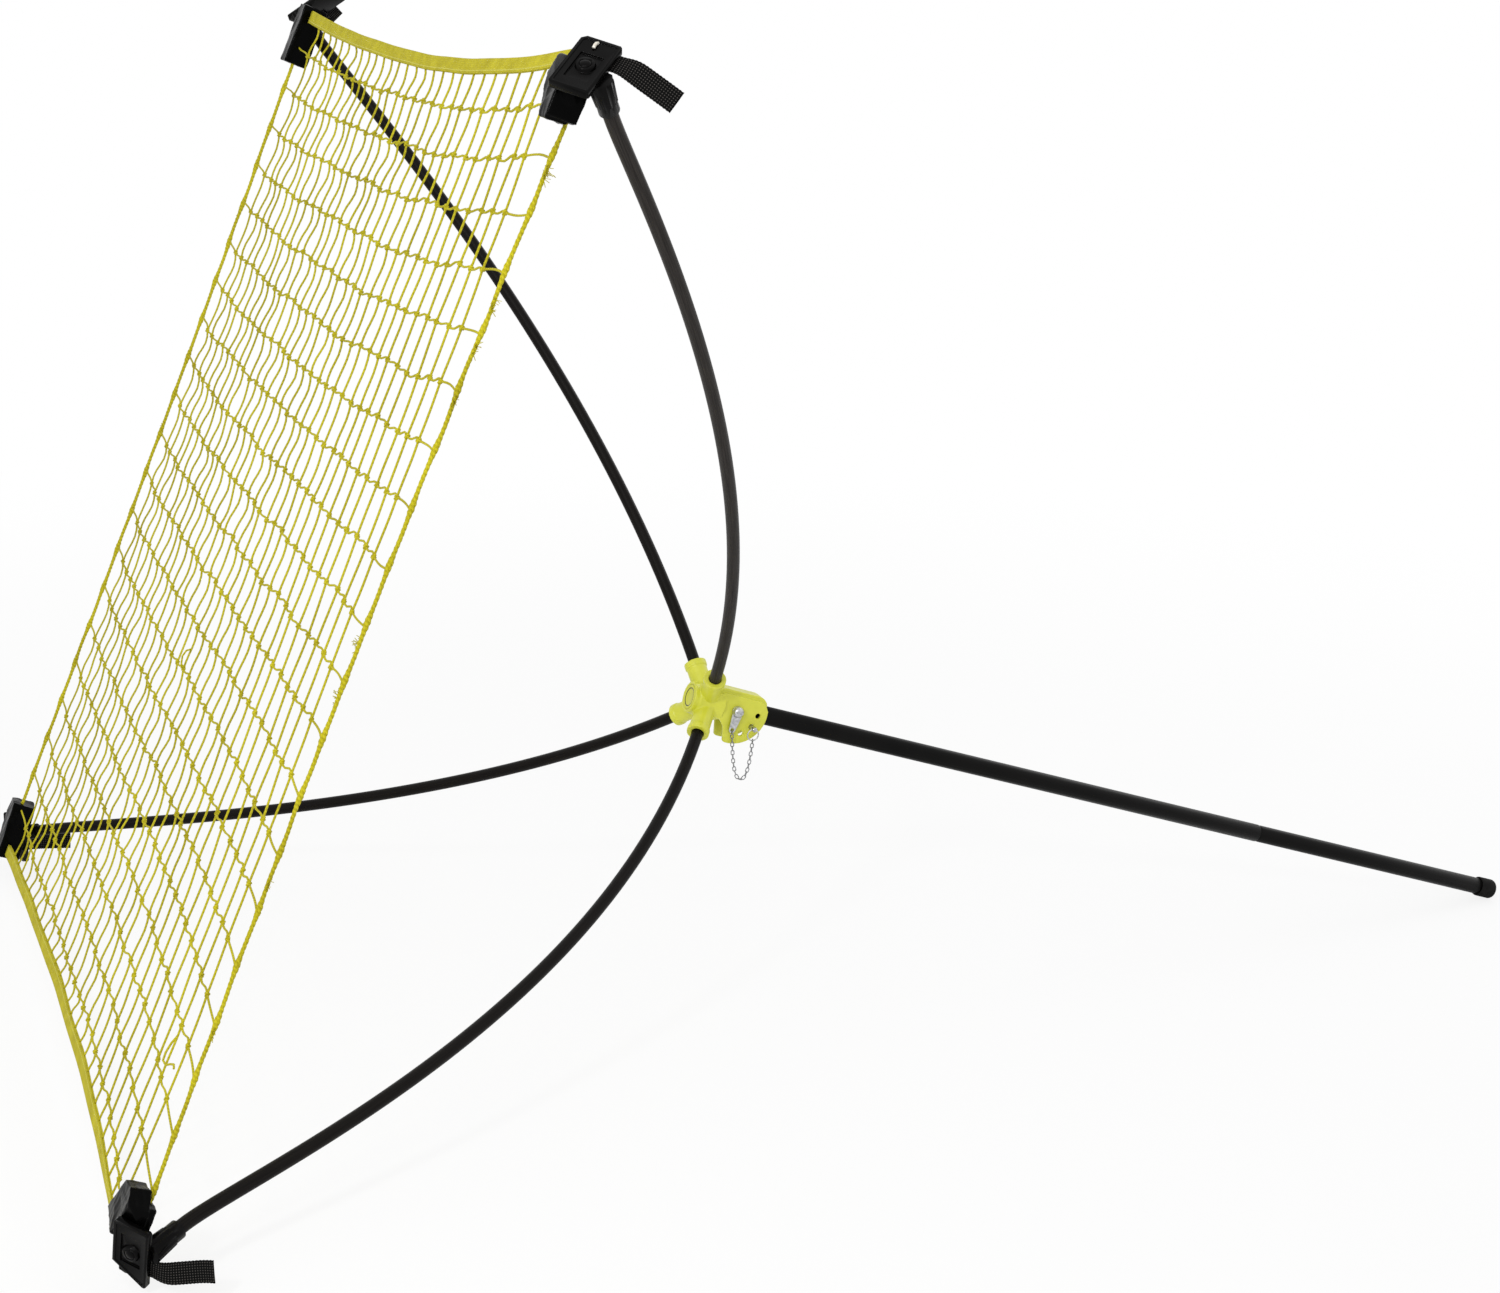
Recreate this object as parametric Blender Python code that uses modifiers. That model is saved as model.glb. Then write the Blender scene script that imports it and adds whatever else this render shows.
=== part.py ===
"""Portable rebound net: a square knotted net stretched over four bowed rods,
which plug into a moulded hub, with a folding two-piece leg behind the hub.

Metres, +Z up.  Everything is laid out in the hub's own frame first: +X runs along
the hub axis towards the leg, +Z up the net, and Y across it.  The stand is then
tilted until both lower corner plates and the foot touch the floor.
"""
import math

import bmesh
import bpy
from mathutils import Matrix, Vector

# ---------------------------------------------------------------- driving sizes
GAP = 0.0003                    # seating gap between pieces that touch
FACETS = 24                     # sides of a turned piece
HOLE_FACETS = 20

# fibreglass rods
ROD_DIAMETER = 0.0143
ROD_POINTS = 20
SOCKET_TILT = math.radians(18.4)        # sockets lean towards the net
UPPER_END_TILT = math.radians(39)       # rods lean more where they end
LOWER_END_TILT = math.radians(43.5)
ROD_BEND_START = 0.0451                 # straight length from the sockets' crossing
ROD_ROOT_HANDLE = 0.465                 # bend handles, as a part of the rod's chord
ROD_TIP_HANDLE = 0.090
CROSSING_X = 0.0142                     # where the socket axes cross the hub axis
HALF_WIDTH_TOP = 0.576          # side ropes from the net's middle, at its top and bottom
HALF_WIDTH_BOTTOM = 0.565
UPPER_TIP_BESIDE = 0.039        # rods' tips beyond the net's corners
LOWER_TIP_BESIDE = 0.022
UPPER_TIP = Vector((-0.552, HALF_WIDTH_TOP + UPPER_TIP_BESIDE, 0.616))
LOWER_TIP = Vector((-0.612, HALF_WIDTH_BOTTOM + LOWER_TIP_BESIDE, -0.516))

# hub
SOCKET_DIAMETER = 0.0245
SOCKET_LENGTH = 0.052
SOCKET_ROOT = 0.006
SOCKET_DEPTH = 0.034
COLLAR_DIAMETER = 0.0270
COLLAR_LENGTH = 0.007
CORE_DIAMETER = 0.040
CORE_FRONT = -0.004
CORE_BACK = 0.030
BOSS_DIAMETER = 0.038
BOSS_FRONT = -0.011
DISC_DIAMETER = 0.030
DISC_THICKNESS = 0.003

# leg and its bracket
PIVOT_X = 0.0475
LEG_RISE = math.radians(0.70)           # the leg bears on the web a little above the axis
LEG_DIAMETER = 0.0228
LEG_WALL = 0.0012
LEG_HEEL = 0.010                        # tube ahead of the pivot
LEG_JOINT = 0.784                       # end of the upper tube, from the pivot
LEG_LENGTH = 1.190                     # pivot to the face of the foot
LOWER_TUBE_DIAMETER = 0.0222
SPIGOT_LENGTH = 0.080
LEG_SIDE_CLEARANCE = 0.0006
CHEEK_THICKNESS = 0.004
CHEEK_RADIUS = 0.0405
WEB_TOP = 0.023
WEB_SHOULDER = 0.005            # cheeks end this far below the web's top
WEB_CORNER_RADIUS = 0.014
WEB_THICKNESS = 0.0065
STOP_LENGTH = 0.016
CHEEK_TOE_ANGLE = math.radians(-94)
BRACKET_FRONT = 0.018
BRACKET_UNDERSIDE = -0.014
BOLT_DIAMETER = 0.008
PIN_DIAMETER = 0.006
PIN_CIRCLE = 0.0285
PIN_STEP = math.radians(31)
PIN_HOLES = 3
PIN_HOLE_IN_USE = 1
HOLE_CLEARANCE = 0.0003
FOOT_DIAMETER = 0.0265
FOOT_LENGTH = 0.025
FOOT_SOCKET = 0.019
FOOT_ROUND = 0.003

# pivot hardware
HEAD_DIAMETER = 0.0135
HEAD_HEIGHT = 0.0045
SLOT_WIDTH = 0.0016
SLOT_DEPTH = 0.0016
WASHER_DIAMETER = 0.0135
NEAR_WASHER_THICKNESS = 0.0022
FAR_WASHER_THICKNESS = 0.0016
NUT_ACROSS_FLATS = 0.013
NUT_HEIGHT = 0.0080
BUSH_WALL = 0.0018
TAB_THICKNESS = 0.0016
TAB_LENGTH = 0.0225
TAB_END_DIAMETER = 0.0080
TAB_HOLE = 0.0046
TAB_SWING = math.radians(-91)
PIN_OUTSIDE = 0.0130
EYE_DIAMETER = 0.0040
EYE_INSET = 0.0040
RING_RADIUS = 0.0070
RING_WIRE = 0.0016
LINK_COUNT = 23
LINK_INSIDE = 0.0048
LINK_BITE = 0.00035             # neighbouring links share metal, so the chain is one body
LINK_WIDTH = 0.0026
LINK_WIRE = 0.0012

# corner fittings
PLATE_LENGTH = 0.068
PLATE_WIDTH = 0.038
PLATE_THICKNESS = 0.007
PLATE_RIM = 0.003
PLATE_LEDGE = 0.001
PLATE_RECESS = 0.003
RECESS_WIDTH = 0.022
RECESS_LENGTH = 0.034
RECESS_SHIFT = 0.003            # recess is a little nearer the net's middle
PLATE_CORNER = 0.004
PLATE_BACK = 0.004              # back of the plate, past the rod's tip
UPPER_PLATE_TILT = math.radians(26)     # plates face less far forward than the rods end
LOWER_PLATE_TILT = math.radians(38)
UPPER_PLATE_TURN = math.radians(52)     # and this far up from level, seen from the front
LOWER_PLATE_TURN = math.radians(31)
# plate centre from the rod's axis: to the rear, and away from the net's middle
PLATE_SHIFTS = {"upper_left": (0.014, 0.016), "upper_right": (-0.016, 0.0045),
                "lower_left": (0.012, 0.0045), "lower_right": (-0.016, 0.0045)}
WORN_CORNER = (0.034, 0.017)    # corner that the lower plates have cut away
BOSS_HEIGHT = 0.0035
PLATE_BOSS_DIAMETER = 0.019
SCREW_DIAMETER = 0.0105
SCREW_HEAD = 0.0020
FERRULE_BASE = 0.026
FERRULE_NECK = 0.021
FERRULE_RIBBED = 0.028
FERRULE_COLLAR = 0.0195
FERRULE_LENGTH = 0.039
FERRULE_RUN_IN = 0.006          # length past its base that the plate's back then trims
FERRULE_RIBS = 12
RIB_DEPTH = 0.0012
STRAP_WIDTH = 0.021
STRAP_THICKNESS = 0.0018
STRAP_START = 0.006             # strap's sewn end, to the rear of the plate's middle
STRAP_STEPS = 9
STRAP_TURN_STEPS = 4            # steps in which it turns from the plate to its free heading
# heading of each strap's free part, way its width lies, free length, and how far its
# middle is from the plate's, away from the net's middle
STRAPS = {"upper_left": (Vector((0.461, -0.057, 0.886)), Vector((0.887, -0.044, -0.465)),
                         0.028, -0.010),
          "upper_right": (Vector((0.848, -0.442, -0.293)), Vector((0.332, 0.012, 0.943)),
                          0.062, 0.020),
          "lower_left": (Vector((0.973, 0.078, 0.216)), Vector((-0.229, 0.270, 0.935)),
                         0.058, 0.008),
          "lower_right": (Vector((0.861, -0.328, 0.389)), Vector((0.298, -0.296, -0.908)),
                          0.060, 0.013)}

# net, laid out in the plane just ahead of the four rod tips
NET_TOP_FORWARD = 0.001         # net ahead of the rods' tips
NET_BOTTOM_FORWARD = 0.010
NET_ROWS = 20
NET_COLUMNS = 15
TWINE = 0.0025
TOP_EDGE_LEFT = 0.578            # levels of the tapes' outer edges: ends and middle
TOP_EDGE_MIDDLE = 0.557
TOP_EDGE_RIGHT = 0.598
BOTTOM_EDGE_LEFT = -0.587
BOTTOM_EDGE_MIDDLE = -0.571
BOTTOM_EDGE_RIGHT = -0.602
HALF_WIDTH_MIDDLE = 0.550       # side ropes from the net's middle, half way up
TAPE_WIDTH = 0.016
TAPE_THICKNESS = 0.0032
TAPE_SEGMENTS = 24
ROPE_DIAMETER = 0.0065
ROPE_SLOPE = 0.1                # steepest lean of a side rope, which tilts its end
POCKET_TIP_TOP = 0.017          # pocket along the tape from the rope's axis
POCKET_TIP_BOTTOM = 0.020
POCKET_INSIDE = 0.013           # and along the net at its lower end
POCKET_OUTSIDE = 0.015
POCKET_OVER = 0.004             # pocket past the tape's outer edge
POCKET_LENGTH = 0.076
POCKET_DEPTH = 0.030
POCKET_AHEAD_RIGHT = 0.011      # pocket middle ahead of the net's plane
POCKET_AHEAD_LEFT = -0.003      # the left pockets lean back with their plates
POCKET_SHOWS = {1: -0.012, -1: -0.034}  # past here a right pocket ends at its plate's front

# ---------------------------------------------------------------- scene set-up
for stale in list(bpy.data.objects):
    bpy.data.objects.remove(stale, do_unlink=True)

PARTS = bpy.data.collections.new("rebound_net")
CUTTERS = bpy.data.collections.new("cutters")
for collection in (PARTS, CUTTERS):
    bpy.context.scene.collection.children.link(collection)


def principled(name, colour, roughness, metallic=0.0):
    """A plain Principled BSDF material."""
    material = bpy.data.materials.new(name)
    material.use_nodes = True
    shader = material.node_tree.nodes["Principled BSDF"]
    shader.inputs["Base Color"].default_value = (*colour, 1.0)
    shader.inputs["Roughness"].default_value = roughness
    shader.inputs["Metallic"].default_value = metallic
    return material


def empty(name, parent=None, location=(0, 0, 0), rotation=(0, 0, 0)):
    """A named frame that pieces are parented to."""
    frame = bpy.data.objects.new(name, None)
    frame.location = location
    frame.rotation_euler = rotation
    frame.parent = parent
    PARTS.objects.link(frame)
    return frame


def add_piece(name, data, material, parent, matrix=Matrix()):
    """Put a mesh or curve into the parts collection as a named node."""
    piece = bpy.data.objects.new(name, data)
    piece.parent = parent
    piece.matrix_local = matrix
    data.materials.append(material)
    PARTS.objects.link(piece)
    return piece


def add_tool(data, parent, matrix=Matrix()):
    """An object that only cuts or joins; it is never built itself."""
    tool = bpy.data.objects.new("tool", data)
    tool.parent = parent
    tool.matrix_local = matrix
    tool.display_type = "WIRE"
    tool.hide_render = True
    CUTTERS.objects.link(tool)
    return tool


def combine(piece, tool, operation="DIFFERENCE"):
    """Exact Boolean of a piece with a tool."""
    modifier = piece.modifiers.new(operation.lower(), "BOOLEAN")
    modifier.operation = operation
    modifier.object = tool


def mesh_from(bm, smooth_angle=math.radians(40)):
    """Turn a bmesh into mesh data, smooth except at real edges."""
    bmesh.ops.recalc_face_normals(bm, faces=bm.faces)
    mesh = bpy.data.meshes.new("mesh")
    bm.to_mesh(mesh)
    bm.free()
    mesh.shade_smooth()
    mesh.set_sharp_from_angle(angle=smooth_angle)
    return mesh


def frame_matrix(origin, x_axis, y_axis, z_axis):
    """Placement whose columns are three unit axes and an origin."""
    matrix = Matrix((x_axis, y_axis, z_axis)).transposed().to_4x4()
    matrix.translation = origin
    return matrix


def along(start, end):
    """Placement whose +Z runs from start to end, centred between them."""
    direction = (end - start).normalized()
    turn = direction.to_track_quat("Z", "Y").to_matrix().to_4x4()
    return Matrix.Translation((start + end) / 2) @ turn


def rod_mesh(start, end, diameter, facets=FACETS, end_diameter=None):
    """Solid cylinder or cone between two points."""
    bm = bmesh.new()
    last = diameter if end_diameter is None else end_diameter
    bmesh.ops.create_cone(bm, cap_ends=True, segments=facets, radius1=diameter / 2,
                          radius2=last / 2, depth=(end - start).length,
                          matrix=along(start, end))
    return mesh_from(bm)


def box_mesh(low, high):
    """Solid box between two corners."""
    low, high = Vector(low), Vector(high)
    bm = bmesh.new()
    size = high - low
    matrix = Matrix.Translation((low + high) / 2) @ Matrix.Diagonal((*size, 1.0))
    bmesh.ops.create_cube(bm, size=1.0, matrix=matrix)
    return mesh_from(bm)


def outline_mesh(points, thickness):
    """A flat outline in XY, thick along Z about its plane, as a closed mesh."""
    curve = bpy.data.curves.new("outline", "CURVE")
    curve.dimensions = "2D"
    curve.fill_mode = "BOTH"
    curve.extrude = thickness / 2
    spline = curve.splines.new("POLY")
    spline.points.add(len(points) - 1)
    for target, (x, y) in zip(spline.points, points):
        target.co = (x, y, 0.0, 1.0)
    spline.use_cyclic_u = True
    carrier = bpy.data.objects.new("outline", curve)
    CUTTERS.objects.link(carrier)
    bpy.context.view_layer.update()
    mesh = bpy.data.meshes.new_from_object(carrier.evaluated_get(
        bpy.context.evaluated_depsgraph_get()))
    bpy.data.objects.remove(carrier)
    bm = bmesh.new()
    bm.from_mesh(mesh)
    bmesh.ops.remove_doubles(bm, verts=bm.verts, dist=1e-6)
    return mesh_from(bm)


def turned(name, profile, material, parent, matrix=Matrix(), facets=FACETS, closed=False):
    """Revolve a profile of (radius, height) about Z with a Screw modifier."""
    around = sum(a[0] * b[1] - b[0] * a[1] for a, b in zip(profile, profile[1:] + profile[:1]))
    profile = profile[::-1] if around > 0 else profile
    bm = bmesh.new()
    points = [bm.verts.new((radius, 0.0, height)) for radius, height in profile]
    for first, second in zip(points, points[1:]):
        bm.edges.new((first, second))
    if closed:
        bm.edges.new((points[-1], points[0]))
    mesh = bpy.data.meshes.new(name)
    bm.to_mesh(mesh)
    bm.free()
    piece = add_piece(name, mesh, material, parent, matrix)
    screw = piece.modifiers.new("turn", "SCREW")
    screw.axis = "Z"
    screw.steps = facets
    screw.render_steps = facets
    screw.use_merge_vertices = True
    screw.merge_threshold = 1e-5
    return piece


def tube(name, points, diameter, material, parent, resolution=2):
    """A round bar along a smooth line of points, with closed ends."""
    curve = bpy.data.curves.new(name, "CURVE")
    curve.dimensions = "3D"
    curve.bevel_depth = diameter / 2
    curve.bevel_resolution = resolution
    curve.use_fill_caps = True
    curve.render_resolution_u = 0
    spline = curve.splines.new("POLY")
    spline.points.add(len(points) - 1)
    for target, point in zip(spline.points, points):
        target.co = (*point, 1.0)
    return add_piece(name, curve, material, parent)


def arc(centre, radius, start, end, steps):
    """Points on an arc in a plane, both ends included."""
    return [(centre[0] + radius * math.cos(start + (end - start) * i / steps),
             centre[1] + radius * math.sin(start + (end - start) * i / steps))
            for i in range(steps + 1)]


# ---------------------------------------------------------------- materials
LIME = principled("lime_nylon", (0.62, 0.70, 0.05), 0.42)
BLACK_ROD = principled("black_fibreglass", (0.025, 0.023, 0.022), 0.38)
BLACK_TUBE = principled("black_painted_steel", (0.012, 0.011, 0.011), 0.30)
BLACK_MOULD = principled("black_nylon", (0.012, 0.012, 0.013), 0.45)
VINYL = principled("black_vinyl", (0.01, 0.01, 0.012), 0.25)
STRAP_WEB = principled("black_webbing", (0.015, 0.014, 0.014), 0.75)
TWINE_YELLOW = principled("yellow_twine", (0.55, 0.52, 0.04), 0.60)
TAPE_YELLOW = principled("yellow_tape", (0.58, 0.53, 0.05), 0.70)
STEEL = principled("bright_steel", (0.62, 0.62, 0.64), 0.25, 1.0)
RUBBER = principled("black_rubber", (0.016, 0.016, 0.016), 0.65)

stand = empty("stand")

# ---------------------------------------------------------------- rods
CROSSING = Vector((CROSSING_X, 0.0, 0.0))
CORNERS = {"upper_left": (UPPER_TIP, 1, 1), "upper_right": (UPPER_TIP, -1, 1),
           "lower_left": (LOWER_TIP, 1, -1), "lower_right": (LOWER_TIP, -1, -1)}


def rod_frame(tip, side):
    """Outward direction across the hub axis, socket and end directions, and the tip."""
    end = Vector((tip.x, tip.y * side, tip.z))
    out = Vector((0.0, end.y, end.z)).normalized()
    socket = out * math.cos(SOCKET_TILT) - Vector((math.sin(SOCKET_TILT), 0, 0))
    tilt = UPPER_END_TILT if tip.z > 0 else LOWER_END_TILT
    finish = out * math.cos(tilt) - Vector((math.sin(tilt), 0, 0))
    return socket, finish, end


def rod_points(tip, side):
    """Centre line of one rod: straight in its socket and its ferrule, bowed between."""
    socket, finish, end = rod_frame(tip, side)
    root = CROSSING + socket * (SOCKET_LENGTH - SOCKET_DEPTH + GAP)
    bend = CROSSING + socket * ROD_BEND_START
    leave = end - finish * (FERRULE_LENGTH + GAP)
    chord = (leave - bend).length
    first = bend + socket * (ROD_ROOT_HANDLE * chord)
    second = leave - finish * (ROD_TIP_HANDLE * chord)
    points = [root]
    for step in range(ROD_POINTS + 1):
        t = step / ROD_POINTS
        points.append(bend * (1 - t) ** 3 + first * 3 * t * (1 - t) ** 2
                      + second * 3 * t * t * (1 - t) + leave * t ** 3)
    return points + [end]


for corner, (tip, side, _) in CORNERS.items():
    tube("rod_" + corner, rod_points(tip, side), ROD_DIAMETER, BLACK_ROD, stand, 4)

# ---------------------------------------------------------------- hub
CHEEK_OUTER = LEG_DIAMETER / 2 + LEG_SIDE_CLEARANCE + CHEEK_THICKNESS
CHANNEL = LEG_DIAMETER / 2 + LEG_SIDE_CLEARANCE
PIVOT = Vector((PIVOT_X, 0.0, 0.0))


def bracket_outline(level):
    """Side view of the bracket: flat top, round rear about the pivot, hollow toe."""
    rear = PIVOT_X + CHEEK_RADIUS
    corner = (rear - WEB_CORNER_RADIUS - 0.001, level - WEB_CORNER_RADIUS)
    top = arc(corner, WEB_CORNER_RADIUS, math.radians(90), math.radians(25), 5)
    heel = arc((PIVOT_X, 0.0), CHEEK_RADIUS, math.radians(12), CHEEK_TOE_ANGLE, 16)
    toe_x = heel[-1][0]
    toe = arc((toe_x, heel[-1][1] + 0.004), 0.004, math.radians(-100), math.radians(-190), 3)
    hollow_x, hollow_z = toe[-1]
    throat = [(hollow_x - 0.004, hollow_z + 0.013), (hollow_x - 0.012, BRACKET_UNDERSIDE)]
    outline = [(BRACKET_FRONT, level - 0.004), (BRACKET_FRONT + 0.008, level)]
    return outline + top + heel + toe + throat + [(BRACKET_FRONT, BRACKET_UNDERSIDE)]


def pin_position(index):
    """Centre of a locking hole, on a circle about the pivot and in line with the leg."""
    angle = LEG_RISE - PIN_STEP * index
    return PIVOT + Vector((PIN_CIRCLE * math.cos(angle), 0.0, PIN_CIRCLE * math.sin(angle)))


def cross_cut(piece, parent, centre, diameter, half_width):
    """A round hole straight across the bracket, about a point in the middle plane."""
    start = Vector((centre.x, -half_width, centre.z))
    end = Vector((centre.x, half_width, centre.z))
    combine(piece, add_tool(rod_mesh(start, end, diameter, HOLE_FACETS), parent))


hub = add_piece("hub_body",
                rod_mesh(Vector((CORE_FRONT, 0, 0)), Vector((CORE_BACK, 0, 0)), CORE_DIAMETER),
                LIME, stand)
combine(hub, add_tool(rod_mesh(Vector((BOSS_FRONT, 0, 0)), Vector((CORE_FRONT + 0.01, 0, 0)),
                               BOSS_DIAMETER), stand), "UNION")
upright = Matrix.Rotation(math.radians(90), 4, "X")
for level, half in ((WEB_TOP - WEB_SHOULDER, CHEEK_OUTER), (WEB_TOP, CHEEK_OUTER - WEB_SHOULDER)):
    side_view = outline_mesh(bracket_outline(level), 2 * half)
    combine(hub, add_tool(side_view, stand, upright), "UNION")
for tip, side, _ in CORNERS.values():
    socket, _, _ = rod_frame(tip, side)
    mouth = CROSSING + socket * SOCKET_LENGTH
    combine(hub, add_tool(rod_mesh(CROSSING + socket * SOCKET_ROOT, mouth, SOCKET_DIAMETER),
                          stand), "UNION")
    combine(hub, add_tool(rod_mesh(mouth - socket * COLLAR_LENGTH, mouth + socket * 0.0005,
                                   COLLAR_DIAMETER), stand), "UNION")
for tip, side, _ in CORNERS.values():
    socket, _, _ = rod_frame(tip, side)
    seat = CROSSING + socket * (SOCKET_LENGTH - SOCKET_DEPTH)
    outside = CROSSING + socket * (SOCKET_LENGTH + 0.01)
    bore = add_tool(rod_mesh(seat, outside, ROD_DIAMETER + 2 * GAP), stand)
    combine(hub, bore)
recess_floor = BOSS_FRONT + DISC_THICKNESS
combine(hub, add_tool(rod_mesh(Vector((BOSS_FRONT - 0.01, 0, 0)), Vector((recess_floor, 0, 0)),
                               DISC_DIAMETER + 2 * GAP), stand))
stop_start = PIVOT_X + CHEEK_RADIUS - STOP_LENGTH
stop_slope = math.tan(LEG_RISE)
stop_level = LEG_DIAMETER / 2 / math.cos(LEG_RISE) + GAP
slot_front, slot_back = CORE_BACK - 0.002, PIVOT_X + 0.1
leg_slot = [(slot_front, -0.1), (slot_back, -0.1),
            (slot_back, stop_level + stop_slope * (slot_back - PIVOT_X)),
            (stop_start, stop_level + stop_slope * (stop_start - PIVOT_X)),
            (stop_start, WEB_TOP - WEB_THICKNESS), (slot_front, WEB_TOP - WEB_THICKNESS)]
combine(hub, add_tool(outline_mesh(leg_slot, 2 * CHANNEL), stand, upright))
cross_cut(hub, stand, PIVOT, BOLT_DIAMETER + 2 * HOLE_CLEARANCE, CHEEK_OUTER + 0.01)
for index in range(PIN_HOLES):
    cross_cut(hub, stand, pin_position(index), PIN_DIAMETER + 2 * HOLE_CLEARANCE,
              CHEEK_OUTER + 0.01)

turned("hub_front_disc",
       [(0.0, DISC_THICKNESS - GAP - 0.0006), (DISC_DIAMETER / 2 - 0.004, DISC_THICKNESS - GAP - 0.0006),
        (DISC_DIAMETER / 2 - 0.003, DISC_THICKNESS - GAP), (DISC_DIAMETER / 2 - 0.0005, DISC_THICKNESS - GAP),
        (DISC_DIAMETER / 2, DISC_THICKNESS - GAP - 0.0005), (DISC_DIAMETER / 2, 0.0), (0.0, 0.0)],
       BLACK_MOULD, stand,
       Matrix.Translation((recess_floor - GAP, 0, 0)) @ Matrix.Rotation(math.radians(-90), 4, "Y"))

# ---------------------------------------------------------------- leg
leg_pivot = empty("leg_pivot", stand, PIVOT, (0.0, -LEG_RISE, 0.0))
leg_slide = empty("leg_slide", leg_pivot, (LEG_JOINT, 0.0, 0.0))
ALONG_LEG = Matrix.Rotation(math.radians(90), 4, "Y")
BUSH_DIAMETER = BOLT_DIAMETER + 2 * HOLE_CLEARANCE + 2 * BUSH_WALL
LEG_BORE = LEG_DIAMETER - 2 * LEG_WALL

leg_upper = turned("leg_upper_tube",
                   [(LEG_DIAMETER / 2, LEG_JOINT - 0.001), (LEG_DIAMETER / 2, -LEG_HEEL),
                    (LEG_BORE / 2, -LEG_HEEL), (LEG_BORE / 2, LEG_JOINT),
                    (LEG_DIAMETER / 2 - 0.0006, LEG_JOINT)],
                   BLACK_TUBE, leg_pivot, ALONG_LEG, closed=True)
cross_cut(leg_upper, leg_pivot, Vector((0, 0, 0)), BUSH_DIAMETER + 2 * GAP, LEG_DIAMETER)
cross_cut(leg_upper, leg_pivot, Vector((PIN_CIRCLE, 0, 0)), PIN_DIAMETER + 2 * HOLE_CLEARANCE,
          LEG_DIAMETER)
bush_half = CHANNEL - GAP
turned("leg_bush",
       [(BUSH_DIAMETER / 2, bush_half), (BUSH_DIAMETER / 2, -bush_half),
        (BUSH_DIAMETER / 2 - BUSH_WALL, -bush_half), (BUSH_DIAMETER / 2 - BUSH_WALL, bush_half)],
       STEEL, leg_pivot, Matrix.Rotation(math.radians(90), 4, "X"), closed=True)

spigot = LEG_BORE / 2 - GAP
lower_bore = spigot - LEG_WALL
tube_end = LEG_LENGTH - LEG_JOINT - (FOOT_LENGTH - FOOT_SOCKET) - GAP
turned("leg_lower_tube",
       [(LOWER_TUBE_DIAMETER / 2, tube_end), (LOWER_TUBE_DIAMETER / 2, GAP + 0.004),
        (LOWER_TUBE_DIAMETER / 2 - 0.0008, GAP), (spigot, GAP), (spigot, 0.002 - SPIGOT_LENGTH),
        (spigot - 0.0008, -SPIGOT_LENGTH), (lower_bore, -SPIGOT_LENGTH), (lower_bore, tube_end)],
       BLACK_TUBE, leg_slide, ALONG_LEG, closed=True)
foot_face = LEG_LENGTH - LEG_JOINT
foot_mouth = foot_face - FOOT_LENGTH
foot_bore = LOWER_TUBE_DIAMETER / 2 + GAP
turned("foot_cap",
       [(0.0, foot_face), (FOOT_DIAMETER / 2 - FOOT_ROUND, foot_face),
        (FOOT_DIAMETER / 2 - FOOT_ROUND * 0.3, foot_face - FOOT_ROUND * 0.3),
        (FOOT_DIAMETER / 2, foot_face - FOOT_ROUND), (FOOT_DIAMETER / 2, foot_mouth + 0.001),
        (FOOT_DIAMETER / 2 - 0.001, foot_mouth), (foot_bore, foot_mouth),
        (foot_bore, foot_mouth + FOOT_SOCKET), (0.0, foot_mouth + FOOT_SOCKET)],
       RUBBER, leg_slide, ALONG_LEG)

# ---------------------------------------------------------------- pivot hardware
NEAR_FACE = -CHEEK_OUTER
washer_face = NEAR_FACE - GAP - NEAR_WASHER_THICKNESS
tab_face = washer_face - GAP - TAB_THICKNESS
head_face = tab_face - GAP
far_face = CHEEK_OUTER + GAP + FAR_WASHER_THICKNESS
nut_face = far_face + GAP
SHANK_HOLE = BOLT_DIAMETER + 2 * HOLE_CLEARANCE
ACROSS = Matrix.Rotation(math.radians(90), 4, "X")      # local +Z points to -Y, at the viewer


def across(y):
    """Placement on the pivot axis at a distance y, with +Z towards -Y."""
    return Matrix.Translation((PIVOT.x, y, PIVOT.z)) @ ACROSS


def washer(name, y_outer, thickness):
    """A flat washer on the pivot bolt whose outer face is at y_outer (towards -Y)."""
    outer, inner = WASHER_DIAMETER / 2, SHANK_HOLE / 2
    turned(name, [(outer, 0.0), (outer, -thickness), (inner, -thickness), (inner, 0.0)],
           STEEL, stand, across(y_outer), closed=True)


washer("pivot_washer_near", washer_face, NEAR_WASHER_THICKNESS)
washer("pivot_washer_far", CHEEK_OUTER + GAP, FAR_WASHER_THICKNESS)
shank = nut_face + NUT_HEIGHT * 0.8 - head_face
bolt = turned("pivot_bolt",
              [(0.0, HEAD_HEIGHT), (HEAD_DIAMETER * 0.26, HEAD_HEIGHT * 0.92),
               (HEAD_DIAMETER * 0.42, HEAD_HEIGHT * 0.62), (HEAD_DIAMETER / 2, HEAD_HEIGHT * 0.2),
               (HEAD_DIAMETER / 2, 0.0), (BOLT_DIAMETER / 2, 0.0),
               (BOLT_DIAMETER / 2, -shank), (0.0, -shank)],
              STEEL, stand, across(head_face))
slot_low = (PIVOT.x - HEAD_DIAMETER, head_face - HEAD_HEIGHT - 0.001, -SLOT_WIDTH / 2)
slot_high = (PIVOT.x + HEAD_DIAMETER, head_face - HEAD_HEIGHT + SLOT_DEPTH, SLOT_WIDTH / 2)
combine(bolt, add_tool(box_mesh(slot_low, slot_high), stand))
nut = add_piece("pivot_nut",
                rod_mesh(Vector((PIVOT.x, nut_face, 0)), Vector((PIVOT.x, nut_face + NUT_HEIGHT, 0)),
                         NUT_ACROSS_FLATS / math.cos(math.radians(30)), 6), STEEL, stand)
cross_cut(nut, stand, PIVOT, SHANK_HOLE, nut_face + 0.02)

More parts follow.
